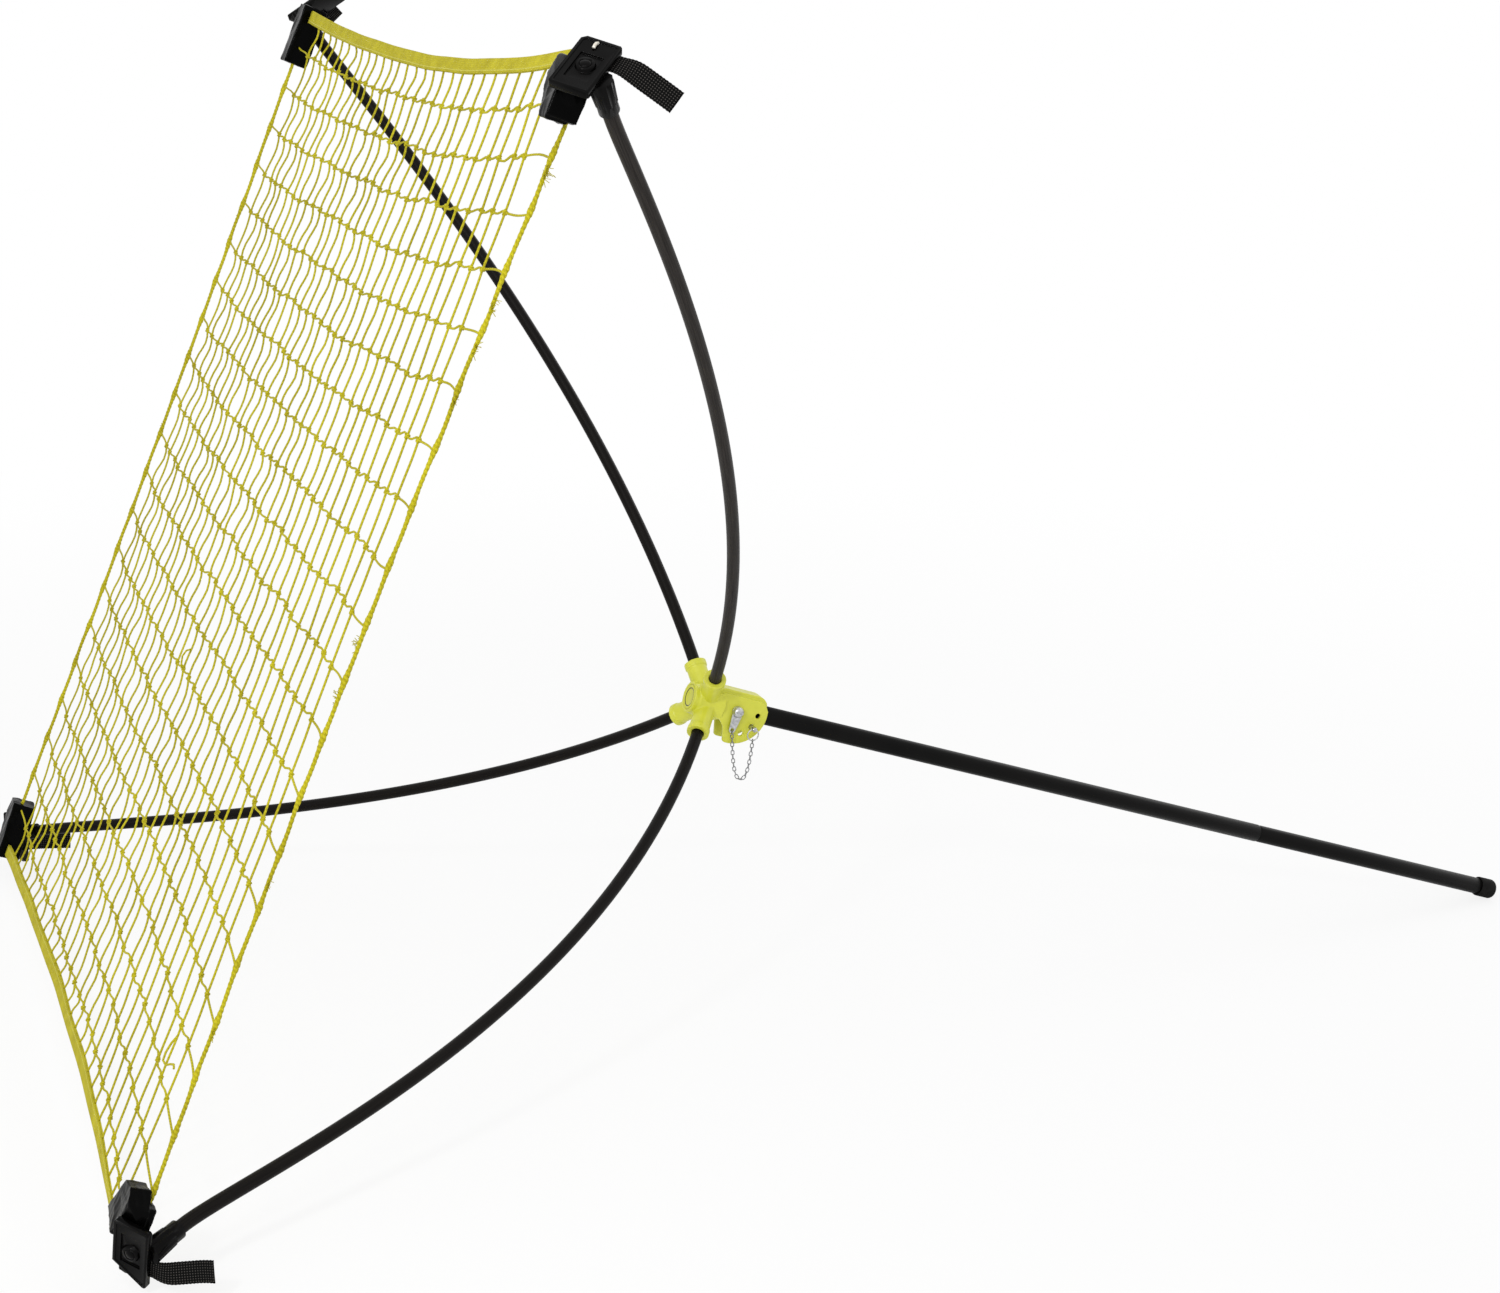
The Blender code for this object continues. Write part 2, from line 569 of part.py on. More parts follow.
tab_reach = Vector((math.cos(TAB_SWING), 0.0, math.sin(TAB_SWING))) * TAB_LENGTH
big, small = HEAD_DIAMETER / 2, TAB_END_DIAMETER / 2
taper = math.acos((big - small) / TAB_LENGTH)
tab_outline = (arc((0.0, 0.0), big, TAB_SWING + taper, TAB_SWING + 2 * math.pi - taper, 12)
               + arc((tab_reach.x, tab_reach.z), small, TAB_SWING - taper, TAB_SWING + taper, 8))
tab = add_piece("lanyard_tab", outline_mesh(tab_outline, TAB_THICKNESS), STEEL, stand,
                across(tab_face + TAB_THICKNESS / 2))
TAB_EYE = PIVOT + tab_reach
cross_cut(tab, stand, PIVOT, SHANK_HOLE, 0.05)
cross_cut(tab, stand, TAB_EYE, TAB_HOLE, 0.05)

# ---------------------------------------------------------------- locking pin, ring and chain
PIN = pin_position(PIN_HOLE_IN_USE)
pin_axis = empty("pin_axis", stand, (PIN.x, NEAR_FACE, PIN.z))
pin_inside = CHEEK_THICKNESS - GAP
pin_radius = PIN_DIAMETER / 2
pin = turned("locking_pin",
             [(0.0, PIN_OUTSIDE), (pin_radius - 0.0008, PIN_OUTSIDE),
              (pin_radius, PIN_OUTSIDE - 0.0008), (pin_radius, 0.0008 - pin_inside),
              (pin_radius - 0.0008, -pin_inside), (0.0, -pin_inside)],
             STEEL, pin_axis, ACROSS, 16)
eye_y = EYE_INSET - PIN_OUTSIDE
combine(pin, add_tool(rod_mesh(Vector((-PIN_DIAMETER, eye_y, 0)), Vector((PIN_DIAMETER, eye_y, 0)),
                               EYE_DIAMETER, 12), pin_axis))


def torus_mesh(radius, wire, around, section):
    """A closed ring in XY."""
    bm = bmesh.new()
    rings = []
    for step in range(around):
        turn = Matrix.Rotation(2 * math.pi * (step + 0.5) / around, 4, "Z")
        placed = turn @ Matrix.Translation((radius, 0, 0)) @ Matrix.Rotation(math.radians(90), 4, "X")
        circle = bmesh.ops.create_circle(bm, segments=section, radius=wire / 2, matrix=placed)
        rings.append(circle["verts"])
    for first, second in zip(rings, rings[1:] + rings[:1]):
        edges = [edge for ring in (first, second) for edge in
                 {edge for vert in ring for edge in vert.link_edges
                  if edge.other_vert(vert) in ring}]
        bmesh.ops.bridge_loops(bm, edges=edges)
    return mesh_from(bm)


ring_drop = Vector((0.0, 0.0, -RING_RADIUS))
ring_tilt = Matrix.Rotation(math.radians(-8), 4, "Y")
ring_place = (Matrix.Translation((0, eye_y, 0)) @ ring_tilt @ Matrix.Translation(ring_drop) @ ACROSS)
add_piece("split_ring", torus_mesh(RING_RADIUS, RING_WIRE, 20, 6), STEEL, pin_axis, ring_place)


def catenary(start, end, length, down):
    """Point and direction at a distance along a chain that hangs between two points."""
    span = end - start
    drop = span.dot(down)
    level = span - down * drop
    run = level.length
    level.normalize()
    target = math.sqrt(length ** 2 - drop ** 2) / run
    low, high = 1e-3, 20.0
    for _ in range(60):
        middle = (low + high) / 2
        low, high = (middle, high) if math.sinh(middle) / middle < target else (low, middle)
    scale = run / (2 * low)
    shift = run / 2 - scale * math.atanh(-drop / length)

    def height(x):
        return scale * math.cosh((x - shift) / scale)

    def at(distance):
        reach = scale * math.asinh(distance / scale + math.sinh(-shift / scale)) + shift
        slope = math.sinh((reach - shift) / scale)
        point = start + level * reach + down * (height(0.0) - height(reach))
        return point, (level - down * slope).normalized()
    return at


def chain_mesh(start, end, down, first):
    """Every other link of a hanging chain, counted from the first one given."""
    pitch = LINK_INSIDE + LINK_BITE
    reach = LINK_INSIDE + LINK_WIRE
    line = catenary(start, end, reach + (LINK_COUNT - 1) * pitch, down)
    stretch = (LINK_INSIDE - LINK_WIDTH) / 2
    bm = bmesh.new()
    for index in range(first, LINK_COUNT, 2):
        link = bmesh.new()
        link.from_mesh(torus_mesh((LINK_WIDTH + LINK_WIRE) / 2, LINK_WIRE, 8, 4))
        for vert in link.verts:
            vert.co.x += stretch if vert.co.x > 0 else -stretch
        centre, direction = line(reach / 2 + index * pitch)
        side = down.cross(direction).normalized()
        flat = side.cross(direction).normalized()
        across_link = flat if first else side
        link.transform(frame_matrix(centre, direction, across_link, direction.cross(across_link)))
        loose = bpy.data.meshes.new("link")
        link.to_mesh(loose)
        link.free()
        bm.from_mesh(loose)
        bpy.data.meshes.remove(loose)
    return mesh_from(bm)


# ---------------------------------------------------------------- corner fittings
def corner_frame(tip, side, end):
    """Rod tip, outward normal, axis away from the net's middle, axis to the rear."""
    point = rod_frame(tip, side)[2]
    lean_out, rise = ((UPPER_PLATE_TILT, UPPER_PLATE_TURN) if end > 0 else
                      (LOWER_PLATE_TILT, LOWER_PLATE_TURN))
    normal = Vector((-math.sin(lean_out), side * math.cos(lean_out) * math.cos(rise),
                     end * math.cos(lean_out) * math.sin(rise)))
    upright_axis = Vector((0.0, 0.0, float(end)))
    away = (upright_axis - normal * normal.dot(upright_axis)).normalized()
    rear = away.cross(normal)
    if rear.x < 0:
        rear = -rear
    return point, normal, away, rear


def ferrule_room(tip, side):
    """Cutter that keeps a soft piece clear of the ferrule."""
    _, axis, point = rod_frame(tip, side)
    room = rod_mesh(point + axis * FERRULE_BASE, point - axis * (FERRULE_LENGTH + FERRULE_BASE),
                    FERRULE_BASE + 4 * GAP)
    return add_tool(room, stand)


def behind_plate(point, normal, away, rear):
    """Placement of a 0.1 m deep block that starts just behind the plate's back."""
    return frame_matrix(point + normal * (PLATE_BACK - GAP + 0.05), rear, away, rear.cross(away))


def plate_outline(end, shrink=0.0):
    """Rectangle with small corners, drawn in by shrink; lower plates have a worn corner."""
    half_w, half_l = PLATE_WIDTH / 2 - shrink, PLATE_LENGTH / 2 - shrink
    cut_w, cut_l = (PLATE_CORNER, PLATE_CORNER) if end > 0 else WORN_CORNER
    steep = math.hypot(1 / cut_w, 1 / cut_l)
    worn_w = cut_w * (1 + shrink * (steep - 1 / cut_l)) - shrink
    worn_l = cut_l * (1 + shrink * (steep - 1 / cut_w)) - shrink
    small = PLATE_CORNER * 0.4
    worn_w = min(worn_w, 2 * half_w - 2 * small)
    return [(-half_w, half_l - worn_l), (-half_w, -half_l + small), (-half_w + small, -half_l),
            (half_w - small, -half_l), (half_w, -half_l + small),
            (half_w, half_l - small), (half_w - small, half_l), (-half_w + worn_w, half_l)]


def mirrored(points, keep):
    """The same outline, or its mirror image across its long axis."""
    return [(x if keep else -x, y) for x, y in points]


plate_centres = {}
for corner, (tip, side, end) in CORNERS.items():
    point, normal, away, rear = corner_frame(tip, side, end)
    to_rear, outward = PLATE_SHIFTS[corner]
    centre = (point + normal * (PLATE_BACK + PLATE_THICKNESS / 2) + rear * to_rear
              + away * outward)
    plate_centres[corner] = centre
    handed = rear.cross(away).dot(normal) > 0
    across_plate = rear if handed else -rear
    place = frame_matrix(centre, across_plate, away, normal)
    outline = mirrored(plate_outline(end), handed)
    plate = add_piece("corner_plate_" + corner, outline_mesh(outline, PLATE_THICKNESS),
                      BLACK_MOULD, stand, place)
    face = PLATE_THICKNESS / 2
    ledge = mirrored(plate_outline(end, PLATE_RIM), handed)
    combine(plate, add_tool(outline_mesh(ledge, 2 * PLATE_LEDGE), stand,
                            place @ Matrix.Translation((0, 0, face))))
    recess_w, recess_l = RECESS_WIDTH / 2, RECESS_LENGTH / 2
    combine(plate, add_tool(box_mesh((-recess_w, -recess_l - RECESS_SHIFT, face - PLATE_RECESS),
                                     (recess_w, recess_l - RECESS_SHIFT, face + 0.01)),
                            stand, place))
    boss_top = face - PLATE_RECESS + BOSS_HEIGHT
    boss = add_tool(rod_mesh(Vector((0, 0, 0)), Vector((0, 0, boss_top)), PLATE_BOSS_DIAMETER, 16,
                             PLATE_BOSS_DIAMETER * 0.86), stand, place)
    combine(plate, boss, "UNION")
    screw_floor = boss_top - SCREW_HEAD
    hole = add_tool(rod_mesh(Vector((0, 0, screw_floor)), Vector((0, 0, boss_top + 0.01)),
                             SCREW_DIAMETER + 2 * GAP, 16), stand, place)
    combine(plate, hole)
    turned("corner_screw_" + corner,
           [(0.0, SCREW_HEAD + 0.0008), (SCREW_DIAMETER * 0.3, SCREW_HEAD + 0.0006),
            (SCREW_DIAMETER / 2, SCREW_HEAD - 0.0004), (SCREW_DIAMETER / 2, 0.0), (0.0, 0.0)],
           BLACK_MOULD, stand, place @ Matrix.Translation((0, 0, screw_floor + GAP)), 16)

    # ribbed ferrule on the back of the plate, which the rod's end sits in
    axis = rod_frame(tip, side)[1]
    base = point + axis * PLATE_BACK
    neck = base - axis * FERRULE_RIBBED
    mouth = base - axis * FERRULE_LENGTH
    bm = bmesh.new()
    bmesh.ops.create_cone(bm, cap_ends=True, segments=2 * FERRULE_RIBS, radius1=FERRULE_BASE / 2,
                          radius2=FERRULE_NECK / 2, depth=FERRULE_RIBBED + FERRULE_RUN_IN)
    for vert in bm.verts:
        step = math.floor(math.atan2(vert.co.y, vert.co.x) / (2 * math.pi) * 2 * FERRULE_RIBS + 0.5)
        if step % 2:
            radius = math.hypot(vert.co.x, vert.co.y)
            vert.co.x *= 1 - RIB_DEPTH / radius
            vert.co.y *= 1 - RIB_DEPTH / radius
    ferrule = add_piece("ferrule_" + corner, mesh_from(bm, math.radians(10)), BLACK_MOULD, stand,
                        along(base + axis * FERRULE_RUN_IN, neck))
    collar = add_tool(rod_mesh(neck + axis * 0.006, mouth, FERRULE_COLLAR, 20), stand)
    combine(ferrule, collar, "UNION")
    combine(ferrule, add_tool(rod_mesh(point + axis * GAP, mouth - axis * 0.01,
                                       ROD_DIAMETER + 2 * GAP), stand))
    combine(ferrule, add_tool(box_mesh((-0.2, -0.2, -0.05), (0.2, 0.2, 0.05)), stand,
                              behind_plate(point, normal, away, rear)))

    # webbing pull strap, caught behind the plate; its free end turns to its own heading
    heading, spread, free, level = STRAPS[corner]
    spread = spread if spread.dot(away) > 0 else -spread
    back = centre - normal * (PLATE_THICKNESS / 2 + GAP) + away * level
    reached = back + rear * (PLATE_WIDTH / 2 + 0.001)
    stations = [(back + rear * STRAP_START, away), (reached, away)]
    for step in range(1, STRAP_STEPS + 1):
        share = min(1.0, step / STRAP_TURN_STEPS)
        onward = rear.lerp(heading, share).normalized()
        reached = reached + onward * free / STRAP_STEPS
        width = away.lerp(spread, share)
        stations.append((reached, (width - onward * width.dot(onward)).normalized()))
    bm = bmesh.new()
    bmesh.ops.create_grid(bm, x_segments=len(stations) - 1, y_segments=1, size=0.5)
    columns = sorted({round(vert.co.x, 6) for vert in bm.verts})
    for vert in bm.verts:
        middle, width = stations[columns.index(round(vert.co.x, 6))]
        vert.co = middle + width * math.copysign(STRAP_WIDTH / 2, vert.co.y)
    bmesh.ops.recalc_face_normals(bm, faces=bm.faces)
    sewn = min(bm.faces, key=lambda face: (face.calc_center_median() - back).length)
    facing = sewn.normal.dot(normal)
    strap_mesh = bpy.data.meshes.new("strap")
    bm.to_mesh(strap_mesh)
    bm.free()
    strap = add_piece("pull_strap_" + corner, strap_mesh, STRAP_WEB, stand)
    solid = strap.modifiers.new("thickness", "SOLIDIFY")
    solid.thickness = STRAP_THICKNESS
    solid.offset = -1.0 if facing > 0 else 1.0
    solid.use_even_offset = True
    combine(strap, ferrule_room(tip, side))

# ---------------------------------------------------------------- net
TOP_MIDDLE = Vector((UPPER_TIP.x - NET_TOP_FORWARD, 0.0, UPPER_TIP.z))
BOTTOM_MIDDLE = Vector((LOWER_TIP.x - NET_BOTTOM_FORWARD, 0.0, LOWER_TIP.z))
NET_UP = (TOP_MIDDLE - BOTTOM_MIDDLE).normalized()
NET_FRONT = Vector((0, 1, 0)).cross(NET_UP)
if NET_FRONT.x > 0:
    NET_FRONT = -NET_FRONT
NET_CENTRE = (TOP_MIDDLE + BOTTOM_MIDDLE) / 2


def in_net(y, height, forward=0.0):
    """A point of the net's plane, from its place across and up the net."""
    return NET_CENTRE + Vector((0, y, 0)) + NET_UP * height + NET_FRONT * forward


def half_width(height):
    """Distance of the side ropes from the middle: drawn in between the corners."""
    edge = HALF_WIDTH_TOP if height > 0 else HALF_WIDTH_BOTTOM
    reach = TOP_EDGE_RIGHT if height > 0 else -BOTTOM_EDGE_RIGHT
    return HALF_WIDTH_MIDDLE + (edge - HALF_WIDTH_MIDDLE) * (height / reach) ** 2


def top_edge(y):
    """Level of the top tape's outer edge, which hangs between the corners."""
    end = TOP_EDGE_LEFT if y > 0 else TOP_EDGE_RIGHT
    return TOP_EDGE_MIDDLE + (end - TOP_EDGE_MIDDLE) * (y / HALF_WIDTH_TOP) ** 2


def bottom_edge(y):
    """Level of the bottom tape's outer edge, which arches between the corners."""
    end = BOTTOM_EDGE_LEFT if y > 0 else BOTTOM_EDGE_RIGHT
    return BOTTOM_EDGE_MIDDLE + (end - BOTTOM_EDGE_MIDDLE) * (y / HALF_WIDTH_BOTTOM) ** 2


def tape(name, edge, inward, reach):
    """Folded webbing tape that edges the net, between the two corner pockets."""
    bm = bmesh.new()
    bmesh.ops.create_grid(bm, x_segments=TAPE_SEGMENTS, y_segments=1, size=0.5)
    for vert in bm.verts:
        y = 2 * vert.co.x * reach
        level = edge(y) + (inward * TAPE_WIDTH if vert.co.y > 0 else 0.0)
        vert.co = in_net(y, level)
    bmesh.ops.recalc_face_normals(bm, faces=bm.faces)
    mesh = bpy.data.meshes.new(name)
    bm.to_mesh(mesh)
    bm.free()
    piece = add_piece(name, mesh, TAPE_YELLOW, stand)
    solid = piece.modifiers.new("thickness", "SOLIDIFY")
    solid.thickness = TAPE_THICKNESS
    solid.offset = 0.0


tape("top_tape", top_edge, -1, HALF_WIDTH_TOP - POCKET_TIP_TOP - GAP)
tape("bottom_tape", bottom_edge, 1, HALF_WIDTH_BOTTOM - POCKET_TIP_BOTTOM - GAP)


def pocket_block(side, end, grow=0.0):
    """One vinyl corner pocket: an outline in the net's plane, tapered along the tape."""
    half = HALF_WIDTH_TOP if end > 0 else HALF_WIDTH_BOTTOM
    tip = POCKET_TIP_TOP if end > 0 else POCKET_TIP_BOTTOM
    edge = top_edge if end > 0 else bottom_edge
    outer_level = edge(side * half) + end * POCKET_OVER
    tip_level = edge(side * (half - tip)) + end * POCKET_OVER
    inner_level = outer_level - end * POCKET_LENGTH
    tip_end = tip_level - end * (TAPE_WIDTH + 2 * POCKET_OVER)
    outline = [(half + POCKET_OUTSIDE + grow, outer_level + end * grow),
               (half - tip - grow, tip_level + end * grow), (half - tip - grow, tip_end - end * grow),
               (half - POCKET_INSIDE - grow, inner_level - end * grow),
               (half + POCKET_OUTSIDE + grow, inner_level - end * grow)]
    across_net = NET_UP.cross(NET_FRONT)
    ahead = POCKET_AHEAD_LEFT if side > 0 else POCKET_AHEAD_RIGHT
    place = frame_matrix(in_net(0, 0, ahead), across_net, NET_UP, NET_FRONT)
    flat = [(side * across_net.y * y, level) for y, level in outline]
    return outline_mesh(flat, POCKET_DEPTH + 2 * grow), place, inner_level


rope_ends = {}
for corner, (tip, side, end) in CORNERS.items():
    point, normal, away, rear = corner_frame(tip, side, end)
    mesh, place, inner_level = pocket_block(side, end)
    rope_ends[side, end] = inner_level - end * (GAP + ROPE_SLOPE * ROPE_DIAMETER / 2)
    pocket = add_piece("corner_pocket_" + corner, mesh, VINYL, stand, place)
    combine(pocket, add_tool(box_mesh((-0.2, -0.2, -0.05), (0.2, 0.2, 0.05)), stand,
                             behind_plate(point, normal, away, rear)))
    combine(pocket, ferrule_room(tip, side))
    if side < 0:
        front = frame_matrix(plate_centres[corner], rear, away, rear.cross(away))
        combine(pocket, add_tool(box_mesh((-0.1, POCKET_SHOWS[end], -0.06),
                                          (-PLATE_WIDTH / 2 + 0.002, 0.1, 0.06)), stand, front))
    room, _, _ = pocket_block(side, end, GAP)
    combine(bpy.data.objects["pull_strap_" + corner], add_tool(room, stand, place))

for side, name in ((1, "side_rope_left"), (-1, "side_rope_right")):
    first, last = rope_ends[side, 1], rope_ends[side, -1]
    levels = [first + (last - first) * step / 16 for step in range(17)]
    tube(name, [in_net(side * half_width(level), level) for level in levels],
         ROPE_DIAMETER, TWINE_YELLOW, stand, 2)

bm = bmesh.new()
bmesh.ops.create_grid(bm, x_segments=NET_COLUMNS, y_segments=NET_ROWS, size=0.5)
for vert in bm.verts:
    share_y, share_z = 2 * vert.co.x, vert.co.y + 0.5
    edge_gap = GAP + TWINE / 2
    y = share_y * HALF_WIDTH_MIDDLE
    low = bottom_edge(y) + TAPE_WIDTH + edge_gap
    high = top_edge(y) - TAPE_WIDTH - edge_gap
    level = low + (high - low) * share_z
    y = share_y * (half_width(level) - ROPE_DIAMETER / 2 - edge_gap)
    vert.co = in_net(y, level)
bmesh.ops.recalc_face_normals(bm, faces=bm.faces)
net_mesh = bpy.data.meshes.new("net_mesh")
bm.to_mesh(net_mesh)
bm.free()
net = add_piece("net_mesh", net_mesh, TWINE_YELLOW, stand)
wire = net.modifiers.new("twine", "WIREFRAME")
wire.thickness = TWINE
wire.use_even_offset = False
wire.use_boundary = True
wire.use_replace = True
for corner, (tip, side, end) in CORNERS.items():
    mesh, place, _ = pocket_block(side, end, GAP)
    combine(net, add_tool(mesh, stand, place))


# ---------------------------------------------------------------- standing on the floor
def world_points(names):
    """Hub-frame points of the built pieces whose names start as given."""
    bpy.context.view_layer.update()
    graph = bpy.context.evaluated_depsgraph_get()
    home = stand.matrix_world.inverted()
    points = []
    for piece in PARTS.objects:
        if piece.type == "EMPTY" or not piece.name.startswith(names):
            continue
        built = piece.evaluated_get(graph)
        mesh = built.to_mesh()
        turn = home @ piece.matrix_world
        points += [turn @ vert.co for vert in mesh.vertices]
        built.to_mesh_clear()
    return points


def lowest(points, lean):
    """Lowest level of some hub-frame points once the hub axis leans down by an angle."""
    return min(-math.sin(lean) * point.x + math.cos(lean) * point.z for point in points)


front = world_points(("corner_plate_lower", "corner_pocket_lower"))
foot = world_points(("foot_cap",))
low, high = math.radians(5), math.radians(35)
for _ in range(50):
    lean = (low + high) / 2
    low, high = (lean, high) if lowest(front, lean) < lowest(foot, lean) else (low, lean)
floor = min(lowest(front, lean), lowest(foot, lean))

# the chain hangs straight down once the lean is known
down = Vector((math.sin(lean), 0.0, -math.cos(lean)))
chain_start = Vector((TAB_EYE.x, tab_face + TAB_THICKNESS / 2, TAB_EYE.z))
ring_centre = pin_axis.location + (ring_place @ Vector((0, 0, 0)))
ring_bottom = ring_centre + down * (RING_RADIUS - (RING_WIRE + LINK_WIRE) / 2 - GAP)
chain = add_piece("pin_chain", chain_mesh(chain_start, ring_bottom, down, 0), STEEL, stand)
combine(chain, add_tool(chain_mesh(chain_start, ring_bottom, down, 1), stand), "UNION")

everything = world_points(("",))
turned_x = [math.cos(lean) * point.x + math.sin(lean) * point.z for point in everything]
stand.rotation_euler = (0.0, lean, 0.0)
stand.location = (-(min(turned_x) + max(turned_x)) / 2, 0.0, -floor)
bpy.context.view_layer.update()
print("lean %.6f deg, hub axis at %s" % (math.degrees(lean), tuple(stand.location)))
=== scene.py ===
"""Portable rebound net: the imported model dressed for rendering, piece by piece in the
order in which the real one is put together. Metres; +X points from the net to the leg."""
import math
import random

import bmesh
import bpy
from mathutils import Matrix, Vector, noise


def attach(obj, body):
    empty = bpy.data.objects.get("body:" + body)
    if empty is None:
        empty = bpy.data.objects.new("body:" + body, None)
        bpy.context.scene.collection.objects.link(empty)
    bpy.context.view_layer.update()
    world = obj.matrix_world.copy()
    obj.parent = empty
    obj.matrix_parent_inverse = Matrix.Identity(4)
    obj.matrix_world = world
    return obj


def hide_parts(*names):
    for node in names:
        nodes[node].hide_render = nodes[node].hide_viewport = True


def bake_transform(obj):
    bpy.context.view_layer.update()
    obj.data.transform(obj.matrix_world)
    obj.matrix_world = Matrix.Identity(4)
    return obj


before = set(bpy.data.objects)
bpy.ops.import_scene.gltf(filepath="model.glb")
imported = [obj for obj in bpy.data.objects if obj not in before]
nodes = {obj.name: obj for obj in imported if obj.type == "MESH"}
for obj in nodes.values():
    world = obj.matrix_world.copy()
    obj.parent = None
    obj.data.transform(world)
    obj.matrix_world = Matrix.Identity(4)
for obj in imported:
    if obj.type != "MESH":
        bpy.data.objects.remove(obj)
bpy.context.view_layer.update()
bpy.ops.object.select_all(action="DESELECT")

# ------------------------------------------------------------------ camera
# The stand's own frame has its origin in the hub: +X along the hub axis to the leg, +Z up
# the net. The whole stand leans back. The camera looks at it from the front right, and its
# place and directions in that frame were fitted to the photo's perspective.
LEAN_BACK = math.radians(17.004031)
HUB_PLACE = (-0.210829, 0.0, 0.359839)
stand = Matrix.Translation(HUB_PLACE) @ Matrix.Rotation(LEAN_BACK, 4, "Y")
eye = Vector((-1.26467, -2.77407, 0.53139))
right = Vector((0.88136, -0.35015, 0.31718))
ahead = Vector((0.41298, 0.89706, -0.15726))
above = Vector((-0.22946, 0.26959, 0.93524))
aim = Matrix((right, above, -ahead)).transposed().to_4x4()
bpy.ops.object.camera_add()
camera = bpy.context.object
camera.matrix_world = stand @ Matrix.Translation(eye) @ aim
camera.data.lens = 62.4
camera.data.sensor_width = 36.0
camera.data.shift_x = 0.020993
camera.data.shift_y = 0.012793
camera.data.clip_end = 60.0
bpy.context.scene.camera = camera


# ------------------------------------------------------------------ rods
# Four solid fibreglass rods, drawn through a round die and painted black. Each is pushed
# into the hub and sprung forward into a corner, so it is straight at both ends and bowed
# between. The drawing leaves fine streaks along the rod.
def linear(hex_text):
    """sRGB hex to the linear colour that a shader wants."""
    parts = [int(hex_text[i:i + 2], 16) / 255 for i in (1, 3, 5)]
    return (*(c / 12.92 if c <= 0.04045 else ((c + 0.055) / 1.055) ** 2.4 for c in parts), 1.0)


def add_node(tree, kind, inputs=(), **settings):
    """Add a shader node with its settings, and set or link its inputs."""
    node = tree.nodes.new("ShaderNode" + kind)
    for name, value in settings.items():
        setattr(node, name, value)
    for key, value in dict(inputs).items():
        if isinstance(value, bpy.types.NodeSocket):
            tree.links.new(value, node.inputs[key])
        else:
            node.inputs[key].default_value = value
    return node


def new_finish(name, colour, roughness, **sockets):
    """A material whose Principled shader has its plain values set."""
    finish = bpy.data.materials.new(name)
    finish.use_nodes = True
    shader = finish.node_tree.nodes["Principled BSDF"]
    shader.inputs["Base Color"].default_value = linear(colour)
    shader.inputs["Roughness"].default_value = roughness
    for key, value in sockets.items():
        shader.inputs[key.replace("_", " ")].default_value = value
    return finish, finish.node_tree, shader


def vary(tree, shader, source, dark, light, low=0.3, high=0.7):
    """Colour that runs from dark to light with a pattern."""
    ramp = add_node(tree, "ValToRGB", {"Fac": source})
    for element, place, colour in zip(ramp.color_ramp.elements, (low, high), (dark, light)):
        element.position = place
        element.color = linear(colour)
    tree.links.new(ramp.outputs["Color"], shader.inputs["Base Color"])
    return ramp


def relief(tree, shader, source, depth, strength=1.0, under=None):
    """Bump of a given depth in metres, on top of another bump if one is given."""
    bump = add_node(tree, "Bump", {"Height": source, "Distance": depth, "Strength": strength})
    if under:
        tree.links.new(under.outputs["Normal"], bump.inputs["Normal"])
    tree.links.new(bump.outputs["Normal"], shader.inputs["Normal"])
    return bump


def rough_range(tree, shader, source, low, high):
    """Roughness that runs between two values with a pattern."""
    band = add_node(tree, "MapRange", {"Value": source, "To Min": low, "To Max": high})
    tree.links.new(band.outputs["Result"], shader.inputs["Roughness"])


def new_piece(name, bm):
    """Make a built mesh a piece of the stand, in the stand's own frame."""
    mesh = bpy.data.meshes.new(name)
    bm.to_mesh(mesh)
    bm.free()
    piece = bpy.data.objects.new(name, mesh)
    bpy.context.scene.collection.objects.link(piece)
    piece.matrix_world = stand
    return piece


def dress(piece, finish):
    """Give a piece one material."""
    piece.data.materials.clear()
    piece.data.materials.append(finish)


def settle(piece, body, stands_for=()):
    """Bring a piece's place into its mesh, and let it ride with a body."""
    piece.data.transform(piece.matrix_world)
    piece.matrix_world = Matrix.Identity(4)
    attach(piece, body)
    if stands_for:
        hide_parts(*stands_for)


# Gelcoated fibreglass: even, dark brown-black, a soft sheen with streaks along the draw.
# The map runs once round the rod and in metres along it, so the streaks are about 1 mm
# wide and 50 mm long.
rod_finish, tree, shader = new_finish("drawn_fibreglass", "#0d0b0a", 0.4,
                                      Specular_IOR_Level=0.09)
rod_uv = add_node(tree, "UVMap", uv_map="along")
streak_scale = add_node(tree, "Mapping", {"Vector": rod_uv.outputs["UV"],
                                          "Scale": (9.0, 5.0, 1.0)})
streaks = add_node(tree, "TexNoise", {"Vector": streak_scale.outputs["Vector"], "Scale": 4.0,
                                      "Detail": 4.0})
ramp = vary(tree, shader, streaks.outputs["Fac"], "#090706", "#14110f")
rough_range(tree, shader, streaks.outputs["Fac"], 0.3, 0.46)
relief(tree, shader, streaks.outputs["Fac"], 0.00006, 0.5)
# The near upper rod gets a lighter copy of the finish, a greyer black: painted light, for the
# lamps' light that falls on it.
lit_rod_finish = rod_finish.copy()
lit_rod_finish.name = "painted_light_fibreglass"
for element, shade in zip(lit_rod_finish.node_tree.nodes[ramp.name].color_ramp.elements,
                          ("#1d1a18", "#35312e")):
    element.color = linear(shade)

